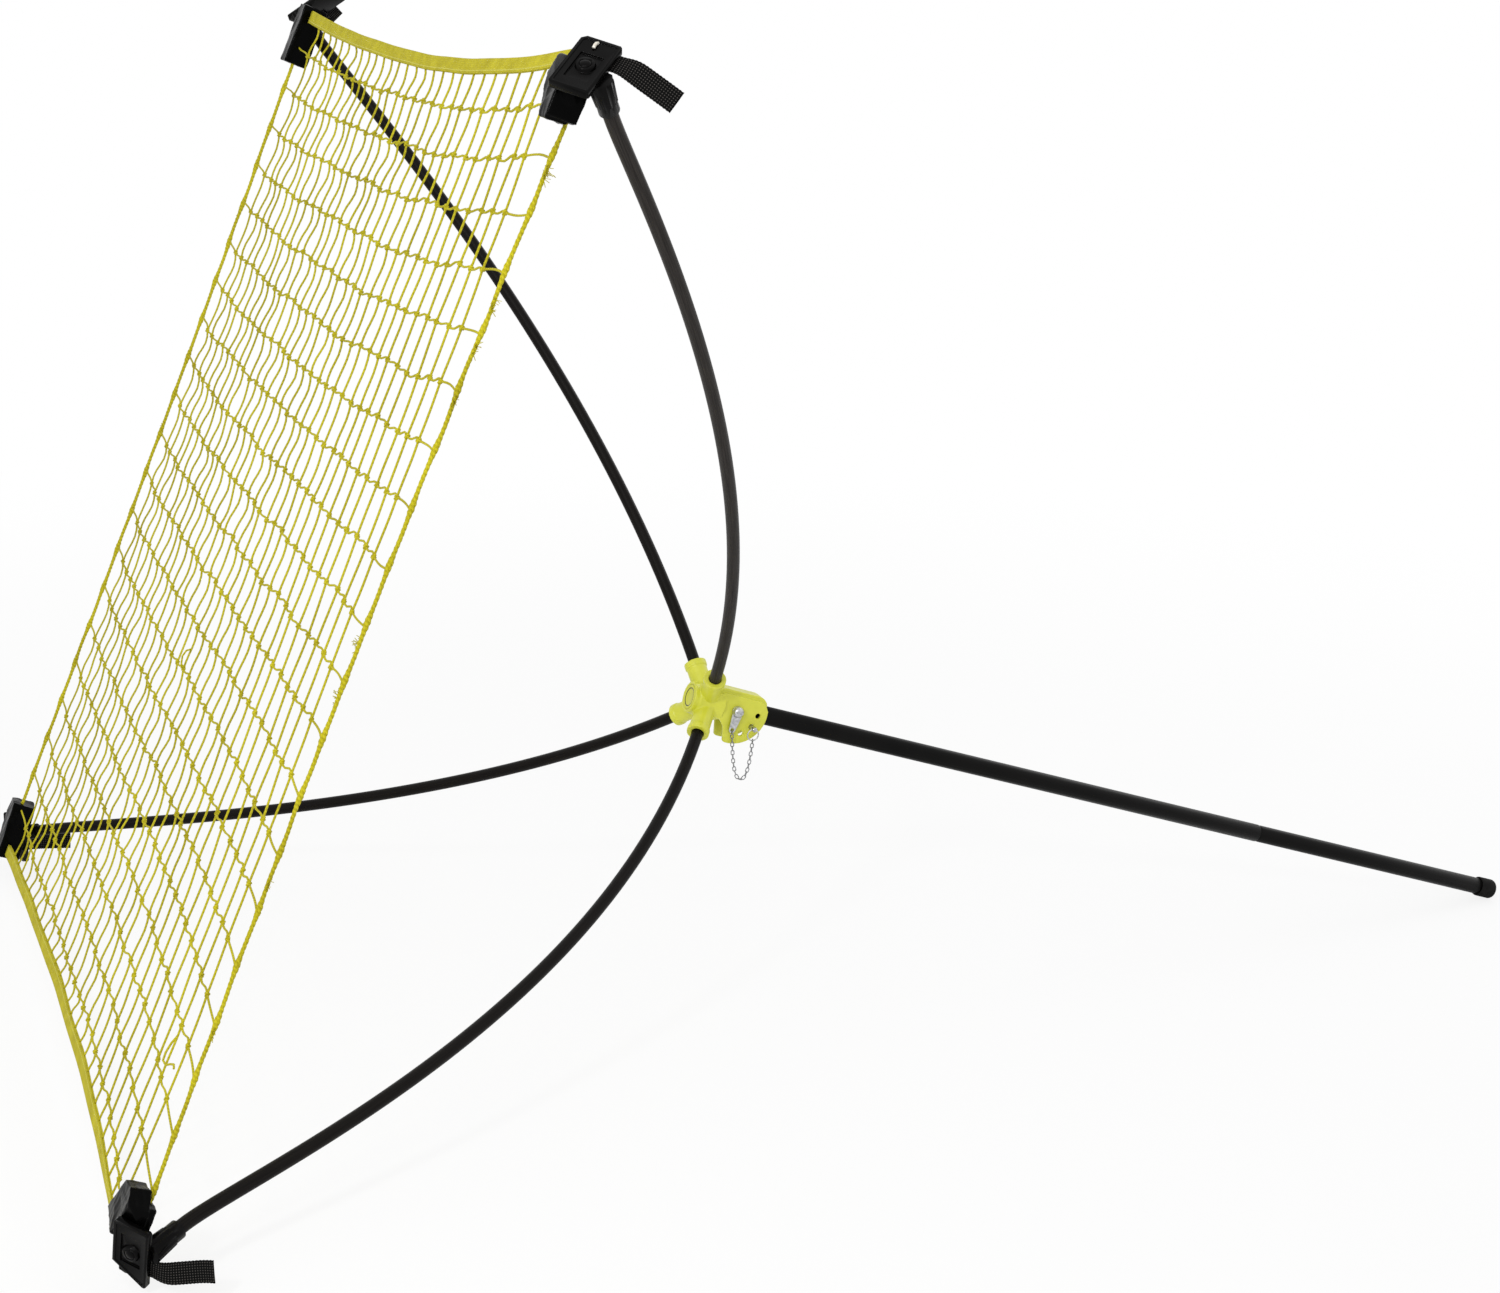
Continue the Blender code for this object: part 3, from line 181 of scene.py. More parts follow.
ROD = 0.0143
SOCKET_TILT = math.radians(18.4)
END_TILT = {1: math.radians(39), -1: math.radians(43.5)}
TIP = {1: Vector((-0.552, 0.615, 0.616)), -1: Vector((-0.612, 0.587, -0.516))}
CROSSING = Vector((0.0142, 0, 0))         # where the four sockets' axes meet
ROD_SEAT, BEND_START = 0.0183, 0.0451     # rod's root and the start of its bow, from there
STRAIGHT_END = 0.0393                     # rod's straight length in its ferrule
ROOT_HANDLE, TIP_HANDLE = 0.465, 0.090    # handles of the bow, as parts of its chord
BOW_STEPS, ROD_SIDES = 60, 28
# Which side of the middle each corner is on, and whether it is an upper one.
corners = {"upper_left": (1, 1), "upper_right": (-1, 1),
           "lower_left": (1, -1), "lower_right": (-1, -1)}


def rod_line(side, end):
    """Rod tip, and the directions of its socket and of its end."""
    tip = Vector((TIP[end].x, TIP[end].y * side, TIP[end].z))
    out = Vector((0, tip.y, tip.z)).normalized()
    back = Vector((1, 0, 0))
    socket = out * math.cos(SOCKET_TILT) - back * math.sin(SOCKET_TILT)
    finish = out * math.cos(END_TILT[end]) - back * math.sin(END_TILT[end])
    return tip, socket, finish


def tube_along(name, paths, radius, sides, swell=None):
    """Round tubes along smooth lines of points, with a map that runs in metres along them.
    swell gives how much thicker a tube is at a share of its length."""
    bm = bmesh.new()
    uv = bm.loops.layers.uv.new("along")
    angles = [2 * math.pi * s / sides for s in range(sides)]
    for path in paths:
        path = [Vector(p) for p in path]
        reach, rings, marks, normal = 0.0, [], [], None
        for index, point in enumerate(path):
            before, after = path[max(index - 1, 0)], path[min(index + 1, len(path) - 1)]
            heading = (after - before).normalized()
            if normal is None:
                normal = heading.orthogonal().normalized()
            normal = (normal - heading * normal.dot(heading)).normalized()
            across = heading.cross(normal)
            reach += (point - before).length if index else 0.0
            marks.append(reach)
            thick = radius * (swell(index / (len(path) - 1)) if swell else 1.0)
            rings.append([bm.verts.new(point + thick * (normal * math.cos(angle)
                                                        + across * math.sin(angle)))
                          for angle in angles])
        for row, (first, second) in enumerate(zip(rings, rings[1:])):
            for s in range(sides):
                t = (s + 1) % sides
                face = bm.faces.new((first[s], first[t], second[t], second[s]))
                face.smooth = True
                spots = ((s, row), (s + 1, row), (s + 1, row + 1), (s, row + 1))
                for loop, (u, v) in zip(face.loops, spots):
                    loop[uv].uv = (u / sides, marks[v])
        bm.faces.new(list(reversed(rings[0])))
        bm.faces.new(rings[-1])
    return new_piece(name, bm)


for corner, (side, end) in corners.items():
    tip, socket, finish = rod_line(side, end)
    root, bend = CROSSING + socket * ROD_SEAT, CROSSING + socket * BEND_START
    leave = tip - finish * STRAIGHT_END
    chord = (leave - bend).length
    first = bend + socket * (ROOT_HANDLE * chord)
    second = leave - finish * (TIP_HANDLE * chord)
    line = [root]
    for step in range(BOW_STEPS + 1):
        t = step / BOW_STEPS
        line.append(bend * (1 - t) ** 3 + first * 3 * t * (1 - t) ** 2
                    + second * 3 * t * t * (1 - t) + leave * t ** 3)
    rod = tube_along("fibreglass_rod_" + corner, [line + [tip]], ROD / 2, ROD_SIDES)
    # The near upper rod takes the lighter copy of the finish, which is painted light.
    dress(rod, lit_rod_finish if corner == "upper_right" else rod_finish)
    settle(rod, "stand", ["rod_" + corner])

# ------------------------------------------------------------------ hub
# One nylon moulding holds the rods: four sockets, a round boss in front and a two-cheeked
# bracket behind for the leg. Its colour is moulded in. The mould rounds every inside
# corner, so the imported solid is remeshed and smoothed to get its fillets.
nylon, tree, shader = new_finish("lime_moulded_nylon", "#c9ca36", 0.4, IOR=1.53,
                                 Subsurface_Weight=0.06, Subsurface_Scale=0.004)
shader.inputs["Subsurface Radius"].default_value = (1.0, 1.0, 0.3)
here = add_node(tree, "TexCoord")
# Faint clouds of 20 mm from the melt's flow, and the mould's spark-eroded grain of 0.5 mm.
mottle = add_node(tree, "TexNoise", {"Vector": here.outputs["Object"], "Scale": 45.0,
                                     "Detail": 5.0})
vary(tree, shader, mottle.outputs["Fac"], "#c9cb37", "#d6d744")
rough_range(tree, shader, mottle.outputs["Fac"], 0.30, 0.38)
grit = add_node(tree, "TexNoise", {"Vector": here.outputs["Object"], "Scale": 1800.0,
                                   "Detail": 2.0})
relief(tree, shader, grit.outputs["Fac"], 0.00008, 0.35)


def copy_of(node, name):
    """A separate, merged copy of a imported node's mesh."""
    piece = nodes[node].copy()
    piece.data = nodes[node].data.copy()
    piece.name = name
    piece.parent = None
    for key in list(piece.keys()):
        del piece[key]
    bpy.context.scene.collection.objects.link(piece)
    piece.matrix_world = Matrix.Identity(4)
    bm = bmesh.new()
    bm.from_mesh(piece.data)
    bmesh.ops.remove_doubles(bm, verts=bm.verts, dist=1e-6)
    bm.to_mesh(piece.data)
    bm.free()
    return piece


def apply_all(piece):
    """Apply every modifier of a piece."""
    bpy.ops.object.select_all(action="DESELECT")
    bpy.context.view_layer.objects.active = piece
    piece.select_set(True)
    for modifier in list(piece.modifiers):
        bpy.ops.object.modifier_apply(modifier=modifier.name)
    piece.select_set(False)


def remould(piece, voxel, passes):
    """Give a piece an even skin of one voxel size, with its edges and corners rounded."""
    skin = piece.modifiers.new("skin", "REMESH")
    skin.mode = "VOXEL"
    skin.voxel_size = voxel
    calm = piece.modifiers.new("calm", "SMOOTH")
    calm.factor = 0.5
    calm.iterations = passes
    apply_all(piece)


def smooth(piece):
    """Shade a piece smooth."""
    for polygon in piece.data.polygons:
        polygon.use_smooth = True


hub = copy_of("hub_body", "hub_moulding")
remould(hub, voxel=0.00075, passes=7)
smooth(hub)
dress(hub, nylon)
settle(hub, "stand", ["hub_body"])

# The plug in the boss is a separate disc of the same nylon. It is left bare, with one
# narrow ring printed in black, which the material draws from the distance to the hub axis.
# Its gloss changes in patches of 4 mm.
RING_RADIUS, RING_HALF_LINE, DISC_EDGE = 0.0108, 0.0006, 0.0003
printed, tree, shader = new_finish("printed_lime_nylon", "#c9ca36", 0.36,
                                   Specular_IOR_Level=0.4)
here = add_node(tree, "TexCoord")
to_hub = stand.inverted()
in_hub = add_node(tree, "Mapping", {"Vector": here.outputs["Object"],
                                    "Location": to_hub.to_translation(),
                                    "Rotation": to_hub.to_euler()})
flat = add_node(tree, "VectorMath", {0: in_hub.outputs["Vector"], 1: (0.0, 1.0, 1.0)},
                operation="MULTIPLY")
from_axis = add_node(tree, "VectorMath", {0: flat.outputs["Vector"]}, operation="LENGTH")
on_ring = add_node(tree, "Math", {0: from_axis.outputs["Value"], 1: RING_RADIUS,
                                  2: RING_HALF_LINE}, operation="COMPARE")
ink = add_node(tree, "Mix", {"Factor": on_ring.outputs["Value"], "A": linear("#c9ca36"),
                             "B": linear("#1b1b16")}, data_type="RGBA")
tree.links.new(ink.outputs["Result"], shader.inputs["Base Color"])
wiped = add_node(tree, "TexNoise", {"Vector": here.outputs["Object"], "Scale": 240.0,
                                    "Detail": 4.0})
rough_range(tree, shader, wiped.outputs["Fac"], 0.28, 0.42)
relief(tree, shader, wiped.outputs["Fac"], 0.00005, 0.3)


def soften_node(node, width, angle=35):
    """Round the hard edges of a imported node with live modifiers, and shade it smooth."""
    piece = nodes[node]
    weld = piece.modifiers.new("merge", "WELD")
    weld.merge_threshold = 1e-6
    edge = piece.modifiers.new("edges", "BEVEL")
    edge.width = width
    edge.segments = 2
    edge.limit_method = "ANGLE"
    edge.angle_limit = math.radians(angle)
    edge.harden_normals = True
    smooth(piece)
    return piece


dress(soften_node("hub_front_disc", DISC_EDGE), printed)

# ------------------------------------------------------------------ corner plates
# Each corner is clamped by a black nylon plate with a raised rim, a stepped recess and a
# round boss, held by one black button-headed screw. A ribbed ferrule of the same plastic
# behind it takes the rod's end.
moulded_black, tree, shader = new_finish("black_moulded_nylon", "#050404", 0.3,
                                         Specular_IOR_Level=0.07)
here = add_node(tree, "TexCoord")
# Carbon black hides the melt's flow but for a change of gloss every 15 mm or so. The grain
# of the mould is finer than 1 mm.
cloudy = add_node(tree, "TexNoise", {"Vector": here.outputs["Object"], "Scale": 60.0,
                                     "Detail": 6.0})
vary(tree, shader, cloudy.outputs["Fac"], "#030303", "#090808")
rough_range(tree, shader, cloudy.outputs["Fac"], 0.16, 0.28)
grain = add_node(tree, "TexNoise", {"Vector": here.outputs["Object"], "Scale": 1500.0,
                                    "Detail": 2.0})
relief(tree, shader, grain.outputs["Fac"], 0.00004, 0.25)

PLATE_EDGE, SCREW_EDGE, RIB_EDGE = 0.0009, 0.0003, 0.0004      # roundings of the mouldings
for corner in corners:
    dress(soften_node("corner_plate_" + corner, PLATE_EDGE), moulded_black)
    dress(soften_node("corner_screw_" + corner, SCREW_EDGE), moulded_black)
    dress(soften_node("ferrule_" + corner, RIB_EDGE, angle=25), moulded_black)

# ------------------------------------------------------------------ pull straps
# Woven polyester webbing, 21 mm wide, caught behind each plate. It curls at its cut end.
# A wave texture repeats every 0.314 m over its scale: here every 3 mm along the strap and
# every 2.4 mm across it, which is coarser than the real weave so that it shows.
webbing, tree, shader = new_finish("woven_webbing", "#100f0f", 0.85, Specular_IOR_Level=0.1)
strap_uv = add_node(tree, "UVMap", uv_map="along")
ribs = add_node(tree, "TexWave", {"Vector": strap_uv.outputs["UV"], "Scale": 105.0},
                wave_type="BANDS", bands_direction="Y")
cords = add_node(tree, "TexWave", {"Vector": strap_uv.outputs["UV"], "Scale": 130.0},
                 wave_type="BANDS", bands_direction="X")
weave = add_node(tree, "Math", {0: ribs.outputs["Fac"], 1: cords.outputs["Fac"]},
                 operation="MULTIPLY")
vary(tree, shader, weave.outputs["Value"], "#040404", "#504d4a", 0.35, 0.95)
relief(tree, shader, weave.outputs["Value"], 0.0007, 1.0)

PLATE_TILT = {1: math.radians(26), -1: math.radians(38)}
PLATE_TURN = {1: math.radians(52), -1: math.radians(31)}
# Each plate's middle from the rod's tip: outwards, and then to the rear and away from the
# middle of the net.
PLATE_AHEAD = 0.0075
PLATE_SHIFTS = {"upper_left": (0.014, 0.016), "upper_right": (-0.016, 0.0045),
                "lower_left": (0.012, 0.0045), "lower_right": (-0.016, 0.0045)}
PLATE_HALF_THICK = 0.0035
STRAP_GAP = 0.0003               # between the plate's back and the strap


def plate_frame(corner):
    """Middle of a plate, its outward normal, and its axes up and to the rear."""
    side, end = corners[corner]
    tip = rod_line(side, end)[0]
    lean, rise = PLATE_TILT[end], PLATE_TURN[end]
    normal = Vector((-math.sin(lean), side * math.cos(lean) * math.cos(rise),
                     end * math.cos(lean) * math.sin(rise)))
    upright = Vector((0, 0, end))
    away = (upright - normal * normal.dot(upright)).normalized()
    rear = away.cross(normal)
    rear = -rear if rear.x < 0 else rear
    to_rear, outward = PLATE_SHIFTS[corner]
    return tip + normal * PLATE_AHEAD + rear * to_rear + away * outward, normal, away, rear


# Heading of each strap's free part, the way its width lies, its free length, how far its
# middle is from the plate's, where it starts behind the plate, and how far its cut end
# curls.
STRAPS = {"upper_left": ((0.461, -0.057, 0.886), (0.887, -0.044, -0.465),
                         0.028, -0.010, 0.011, 0.0),
          "upper_right": ((0.848, -0.442, -0.293), (0.332, 0.012, 0.943),
                          0.062, 0.020, 0.006, 0.001),
          "lower_left": ((0.973, 0.078, 0.216), (-0.229, 0.270, 0.935),
                         0.058, 0.008, 0.006, 0.002),
          "lower_right": ((0.861, -0.328, 0.389), (0.298, -0.296, -0.908),
                          0.060, 0.013, 0.006, 0.006)}
STRAP_WIDTH, STRAP_THICK, STRAP_CUP = 0.021, 0.0018, 0.0007
STRAP_OUT = 0.020                # where it leaves the plate, from the plate's middle
STRAP_SEWN = 0.014               # length behind the plate, for its map
STRAP_STEPS, STRAP_THREADS, CUP_STEPS = 36, 14, 12
TURNED_AT, CURLS_FROM = 4 / 9, 0.7          # parts of its free length
TOOTH = 0.02                     # how far its edges step in and out, as a part of its width
for corner in corners:
    middle, normal, away, rear = plate_frame(corner)
    heading, spread, free, level, start, curl = STRAPS[corner]
    heading, spread = Vector(heading), Vector(spread)
    spread = spread if spread.dot(away) > 0 else -spread
    back = middle - normal * (PLATE_HALF_THICK + STRAP_GAP + STRAP_THICK / 2) + away * level
    reached = back + rear * STRAP_OUT
    stations = [(back + rear * start, away, normal), (reached, away, normal)]
    for step in range(1, STRAP_STEPS + 1):
        along = step / STRAP_STEPS
        share = min(1.0, along / TURNED_AT)
        share = share * share * (3 - 2 * share)
        onward = rear.lerp(heading, share).normalized()
        reached = reached + onward * free / STRAP_STEPS
        width = away.lerp(spread, share)
        width = (width - onward * width.dot(onward)).normalized()
        face = width.cross(onward).normalized()
        bend = curl * (max(0.0, along - CURLS_FROM) / (1 - CURLS_FROM)) ** 2
        stations.append((reached + face * bend, width, face))
    bpy.ops.mesh.primitive_grid_add(x_subdivisions=len(stations) - 1,
                                    y_subdivisions=STRAP_THREADS, size=1.0)
    strap = bpy.context.object
    strap.name = "webbing_" + corner
    columns = sorted({round(v.co.x, 5) for v in strap.data.vertices})
    uv = strap.data.uv_layers.new(name="along")
    for loop in strap.data.loops:
        at = strap.data.vertices[loop.vertex_index].co
        uv.data[loop.index].uv = (at.y * STRAP_WIDTH, (at.x + 0.5) * (free + STRAP_SEWN))
    for v in strap.data.vertices:
        column = columns.index(round(v.co.x, 5))
        centre, width, face = stations[column]
        tooth = (TOOTH if column % 2 else -TOOTH) if abs(v.co.y) > 0.49 else 0.0
        cup = STRAP_CUP * math.cos(math.pi * v.co.y) * min(1.0, column / CUP_STEPS)
        v.co = centre + width * v.co.y * STRAP_WIDTH * (1 + tooth) + face * cup
    strap.matrix_world = stand
    wall = strap.modifiers.new("cloth", "SOLIDIFY")
    wall.thickness = STRAP_THICK
    wall.offset = 0.0
    apply_all(strap)
    smooth(strap)
    dress(strap, webbing)
    settle(strap, "stand", ["pull_strap_" + corner])

# ------------------------------------------------------------------ cord end
# A short white end of the net's cord shows where it passes through the near upper plate.
# It is laid nylon cord, 3 mm thick, and bulges from one hole of the plate to the next.
cord_finish, tree, shader = new_finish("white_cord", "#d9d4c6", 0.8, Specular_IOR_Level=0.25)
cord_uv = add_node(tree, "UVMap", uv_map="along")
# Its strands show as slanting bands that repeat every 4 mm along it.
lay_map = add_node(tree, "Mapping", {"Vector": cord_uv.outputs["UV"],
                                     "Scale": (1.0, 500.0, 1.0)})
lay_bands = add_node(tree, "TexWave", {"Vector": lay_map.outputs["Vector"], "Scale": 0.31416},
                     wave_type="BANDS", bands_direction="DIAGONAL")
vary(tree, shader, lay_bands.outputs["Fac"], "#d8d2c4", "#ebe7db", 0.2, 0.8)
relief(tree, shader, lay_bands.outputs["Fac"], 0.0002, 0.3)
CORD, CORD_STEPS = 0.003, 10
CORD_FROM, CORD_RUN, CORD_FRONT = 0.0215, 0.0085, 0.003      # its place on the plate's face
CORD_LOW, CORD_BULGE = 0.0025, 0.0022     # least height from the plate's middle, and more
CORD_HIDDEN = 0.12                        # part of the bulge inside the first hole
middle, normal, away, rear = plate_frame("upper_right")
cord_path = []
for step in range(CORD_STEPS + 1):
    share = min(1.0, CORD_HIDDEN + step / (CORD_STEPS + 1))
    rise = CORD_LOW + CORD_BULGE * math.sin(math.pi * share)
    cord_path.append(middle + normal * rise - rear * CORD_FRONT
                     + away * (CORD_FROM + CORD_RUN * step / CORD_STEPS))
cord_end = tube_along("cord_end_upper_right", [cord_path], CORD / 2, 12)
dress(cord_end, cord_finish)
settle(cord_end, "stand")

# ------------------------------------------------------------------ corner pockets
# Glossy black vinyl is folded round each corner of the net and sewn, so it is creased and
# stands a little proud between its folds.
vinyl, tree, shader = new_finish("creased_vinyl", "#010101", 0.25, Specular_IOR_Level=0.05)
here = add_node(tree, "TexCoord")
# Soft dents of 20 mm between the creases, under the embossed leather grain of 0.7 mm.
folds = add_node(tree, "TexNoise", {"Vector": here.outputs["Object"], "Scale": 48.0,
                                    "Detail": 2.0, "Distortion": 0.6})
pebble = add_node(tree, "TexVoronoi", {"Vector": here.outputs["Object"], "Scale": 1400.0})
rough_range(tree, shader, folds.outputs["Fac"], 0.18, 0.34)
deep = relief(tree, shader, folds.outputs["Fac"], 0.0012, 0.4)
relief(tree, shader, pebble.outputs["Distance"], 0.00004, 0.12, deep)

TOP_MIDDLE = Vector((-0.553, 0.0, 0.616))
BOTTOM_MIDDLE = Vector((-0.622, 0.0, -0.516))
NET_UP = (TOP_MIDDLE - BOTTOM_MIDDLE).normalized()
NET_FRONT = Vector((-NET_UP.z, 0.0, NET_UP.x))
NET_MIDDLE = (TOP_MIDDLE + BOTTOM_MIDDLE) / 2


def in_net(y, height, forward=0.0):
    """A point of the net's plane, from its place across and up the net."""
    return NET_MIDDLE + Vector((0, y, 0)) + NET_UP * height + NET_FRONT * forward


# Places across and up the net of the fold that each right pocket shows ahead of the net,
# and how far ahead of the net's plane that fold starts and ends.
FRONT_FOLD = {"upper_right": [(-0.546, 0.562), (-0.567, 0.5225), (-0.588, 0.5225),
                              (-0.588, 0.580), (-0.560, 0.580)],
              "lower_right": [(-0.522, -0.560), (-0.5463, -0.5195), (-0.570, -0.5160),
                              (-0.588, -0.530), (-0.588, -0.570), (-0.552, -0.570)]}
FOLD_DEPTHS = (0.004, 0.0255)
CREASES = Vector((40, 40, 14))            # creases a metre, which run mostly up and down
CREASE_SHAPE = (1.4, 2.1, 2, 1.0, 2.0)    # fractal's decay, spacing, octaves, offset, gain
CREASE_DEPTH, CREASE_MIDDLE = 0.0018, 1.1
PLATE_BACK = 0.0034                       # back of the plate, past the rod's tip
for corner, (side, end) in corners.items():
    pocket = copy_of("corner_pocket_" + corner, "vinyl_pocket_" + corner)
    if corner in FRONT_FOLD:
        bm = bmesh.new()
        rings = [[bm.verts.new(stand @ in_net(y, height, forward))
                  for y, height in FRONT_FOLD[corner]] for forward in FOLD_DEPTHS]
        size = len(FRONT_FOLD[corner])
        bm.faces.new(rings[0])
        bm.faces.new(list(reversed(rings[1])))
        for s in range(size):
            t = (s + 1) % size
            bm.faces.new((rings[0][s], rings[1][s], rings[1][t], rings[0][t]))
        bmesh.ops.recalc_face_normals(bm, faces=bm.faces)
        bm.from_mesh(pocket.data)
        bm.to_mesh(pocket.data)
        bm.free()
    remould(pocket, voxel=0.0012, passes=5)
    tip = stand @ rod_line(side, end)[0]
    outer = (stand.to_3x3() @ plate_frame(corner)[1]).normalized()
    own_creases = Vector((7 * side, 3 * end, 0))          # so that no two pockets are alike
    normals = [v.normal.copy() for v in pocket.data.vertices]
    for v, outward in zip(pocket.data.vertices, normals):
        crease = noise.ridged_multi_fractal(v.co * CREASES + own_creases, *CREASE_SHAPE)
        v.co += outward * (CREASE_DEPTH * (crease - CREASE_MIDDLE))
        v.co -= outer * max(0.0, (v.co - tip).dot(outer) - PLATE_BACK)
    smooth(pocket)
    dress(pocket, vinyl)
    settle(pocket, "stand", ["corner_pocket_" + corner])

# ------------------------------------------------------------------ edge tapes
# The net's top and bottom are bound in yellow polypropylene tape, folded over the edge
# twine and sewn through with a line of stitches near its open side.
tape_finish, tree, shader = new_finish("woven_tape", "#b6aa20", 0.8, Specular_IOR_Level=0.25)
tape_uv = add_node(tree, "UVMap", uv_map="along")
# The weave repeats every 2.1 mm across the tape and every 2.6 mm along it, coarser than the
# real one so that it shows. The soiling changes every 22 mm.
warp = add_node(tree, "TexWave", {"Vector": tape_uv.outputs["UV"], "Scale": 150.0,
                                  "Distortion": 0.8}, wave_type="BANDS", bands_direction="X")
weft = add_node(tree, "TexWave", {"Vector": tape_uv.outputs["UV"], "Scale": 120.0,
                                  "Distortion": 0.8}, wave_type="BANDS", bands_direction="Y")
tape_weave = add_node(tree, "Math", {0: warp.outputs["Fac"], 1: weft.outputs["Fac"]},
                      operation="MULTIPLY")
soil = add_node(tree, "TexNoise", {"Vector": tape_uv.outputs["UV"], "Scale": 45.0,
                                   "Detail": 5.0})
tone = add_node(tree, "Math", {0: tape_weave.outputs["Value"], 1: 0.35,
                               2: soil.outputs["Fac"]}, operation="MULTIPLY_ADD")
# Stitches of 3.5 mm with 1.2 mm between them, 3 mm from the tape's open edge: a sine of
# 1337 radians a metre repeats every 4.7 mm, and is above -0.7 for three quarters of that.
TAPE_WIDTH, TAPE_THICK = 0.016, 0.0032
SEAM_IN, SEAM_HALF = 0.003, 0.0007
STITCH_RATE, STITCH_CUT = 1337.0, -0.7
place = add_node(tree, "SeparateXYZ", {"Vector": tape_uv.outputs["UV"]})
seam = add_node(tree, "Math", {0: place.outputs["X"], 1: TAPE_WIDTH - SEAM_IN,
                               2: SEAM_HALF}, operation="COMPARE")
wave = add_node(tree, "Math", {0: place.outputs["Y"], 1: STITCH_RATE}, operation="MULTIPLY")
beat = add_node(tree, "Math", {0: wave.outputs["Value"]}, operation="SINE")
dash = add_node(tree, "Math", {0: beat.outputs["Value"], 1: STITCH_CUT},
                operation="GREATER_THAN")
stitch = add_node(tree, "Math", {0: seam.outputs["Value"], 1: dash.outputs["Value"]},
                  operation="MULTIPLY")
cloth = vary(tree, shader, tone.outputs["Value"], "#aba014", "#d3c92c", 0.3, 1.0)
sewn = add_node(tree, "Mix", {"Factor": stitch.outputs["Value"], "A": cloth.outputs["Color"],
                              "B": linear("#d2cb58")}, data_type="RGBA")
tree.links.new(sewn.outputs["Result"], shader.inputs["Base Color"])
raised = add_node(tree, "Math", {0: stitch.outputs["Value"], 1: 1.2,
                                 2: tape_weave.outputs["Value"]}, operation="MULTIPLY_ADD")
relief(tree, shader, raised.outputs["Value"], 0.0006, 0.9)

# Half the net's width at its top and bottom, and the levels of the tapes' outer edges in
# the middle and at both ends.
HALF_TOP, HALF_BOTTOM = 0.576, 0.565
TOP_LEVEL, TOP_LEFT, TOP_RIGHT = 0.557, 0.578, 0.598
BOTTOM_LEVEL, BOTTOM_LEFT, BOTTOM_RIGHT = -0.571, -0.587, -0.602
TOP_REACH, BOTTOM_REACH = 0.561, 0.547    # where the tapes end in the pockets
TOP_PULL, BOTTOM_PULL = 0.003, 0.009      # how far ahead the right corners pull the net,
PULL_SPAN = 0.55                          # and over what part of its width
RIPPLE, RIPPLES = 0.0012, 9               # how far the edges stray, and how often a metre
LIFT, LIFTS, EDGE_LIFT = 0.0022, 7, 0.3   # the same for the lift, least at the outer edge
FOLD_STEPS, FLAT_STEPS, TAPE_STEPS = 6, 6, 150


def top_edge(y):
    """Level of the top tape's outer edge, which hangs between the corners."""
    return TOP_LEVEL + ((TOP_LEFT if y > 0 else TOP_RIGHT) - TOP_LEVEL) * (y / HALF_TOP) ** 2


def bottom_edge(y):
    """Level of the bottom tape's outer edge, which arches between the corners."""
    end = BOTTOM_LEFT if y > 0 else BOTTOM_RIGHT
    return BOTTOM_LEVEL + (end - BOTTOM_LEVEL) * (y / HALF_BOTTOM) ** 2


def folded_profile():
    """Outline of the folded tape: its place through the net, and inward from the fold."""
    half, flat = TAPE_THICK / 2, TAPE_WIDTH - TAPE_THICK / 2
    bends = [math.pi * step / FOLD_STEPS for step in range(FOLD_STEPS + 1)]
    down = [half + (step + 1) / FLAT_STEPS * flat for step in range(FLAT_STEPS)]
    up = [half + (1 - step / FLAT_STEPS) * flat for step in range(FLAT_STEPS)]
    lips = [(-0.1 * TAPE_THICK, TAPE_WIDTH - 0.0002), (0.0, TAPE_WIDTH - 0.0015),
            (0.1 * TAPE_THICK, TAPE_WIDTH - 0.0002)]
    return ([(half * math.cos(a), half * (1 - math.sin(a))) for a in bends]
            + [(-half, across) for across in down] + lips + [(half, across) for across in up])


def bound_edge(name, edge, inward, reach, pull, node):
    """Tape folded over the net's edge: a flat loop of cloth, round at the fold."""
    profile = folded_profile()
    bm = bmesh.new()
    uv = bm.loops.layers.uv.new("along")
    rings, marks = [], []
    for index in range(TAPE_STEPS + 1):
        y = reach - 2 * reach * index / TAPE_STEPS
        ripple = RIPPLE * noise.noise(Vector((y * RIPPLES, inward * 5, 0)))
        lift = LIFT * noise.noise(Vector((y * LIFTS, inward * 9, 4)))
        lift += pull * max(0.0, -y / PULL_SPAN) ** 3
        ring = []
        for through, across in profile:
            forward = through + lift * (EDGE_LIFT + across / TAPE_WIDTH)
            ring.append(bm.verts.new(in_net(y, edge(y) + ripple + inward * across, forward)))
        rings.append(ring)
        marks.append(y)
    size = len(profile)
    for row, (one, two) in enumerate(zip(rings, rings[1:])):
        for s in range(size):
            t = (s + 1) % size
            face = bm.faces.new((one[s], two[s], two[t], one[t]))
            face.smooth = True
            spots = ((s, row), (s, row + 1), (t, row + 1), (t, row))
            for loop, (u, v) in zip(face.loops, spots):
                loop[uv].uv = (profile[u][1], marks[v])
    bm.faces.new(rings[0])
    bm.faces.new(list(reversed(rings[-1])))
    bmesh.ops.recalc_face_normals(bm, faces=bm.faces)
    tape = new_piece(name, bm)
    dress(tape, tape_finish)
    settle(tape, "stand", [node])


bound_edge("top_binding", top_edge, -1, TOP_REACH, TOP_PULL, "top_tape")
bound_edge("bottom_binding", bottom_edge, 1, BOTTOM_REACH, BOTTOM_PULL, "bottom_tape")

# ------------------------------------------------------------------ side ropes
# A cord of three polyethylene strands edges each side. The rows of the net are lashed to
# it, which leaves a thicker, fluffy place at every row.
twine_finish, tree, shader = new_finish("twisted_twine", "#b0a511", 0.75,
                                        Specular_IOR_Level=0.25)
twine_uv = add_node(tree, "UVMap", uv_map="along")
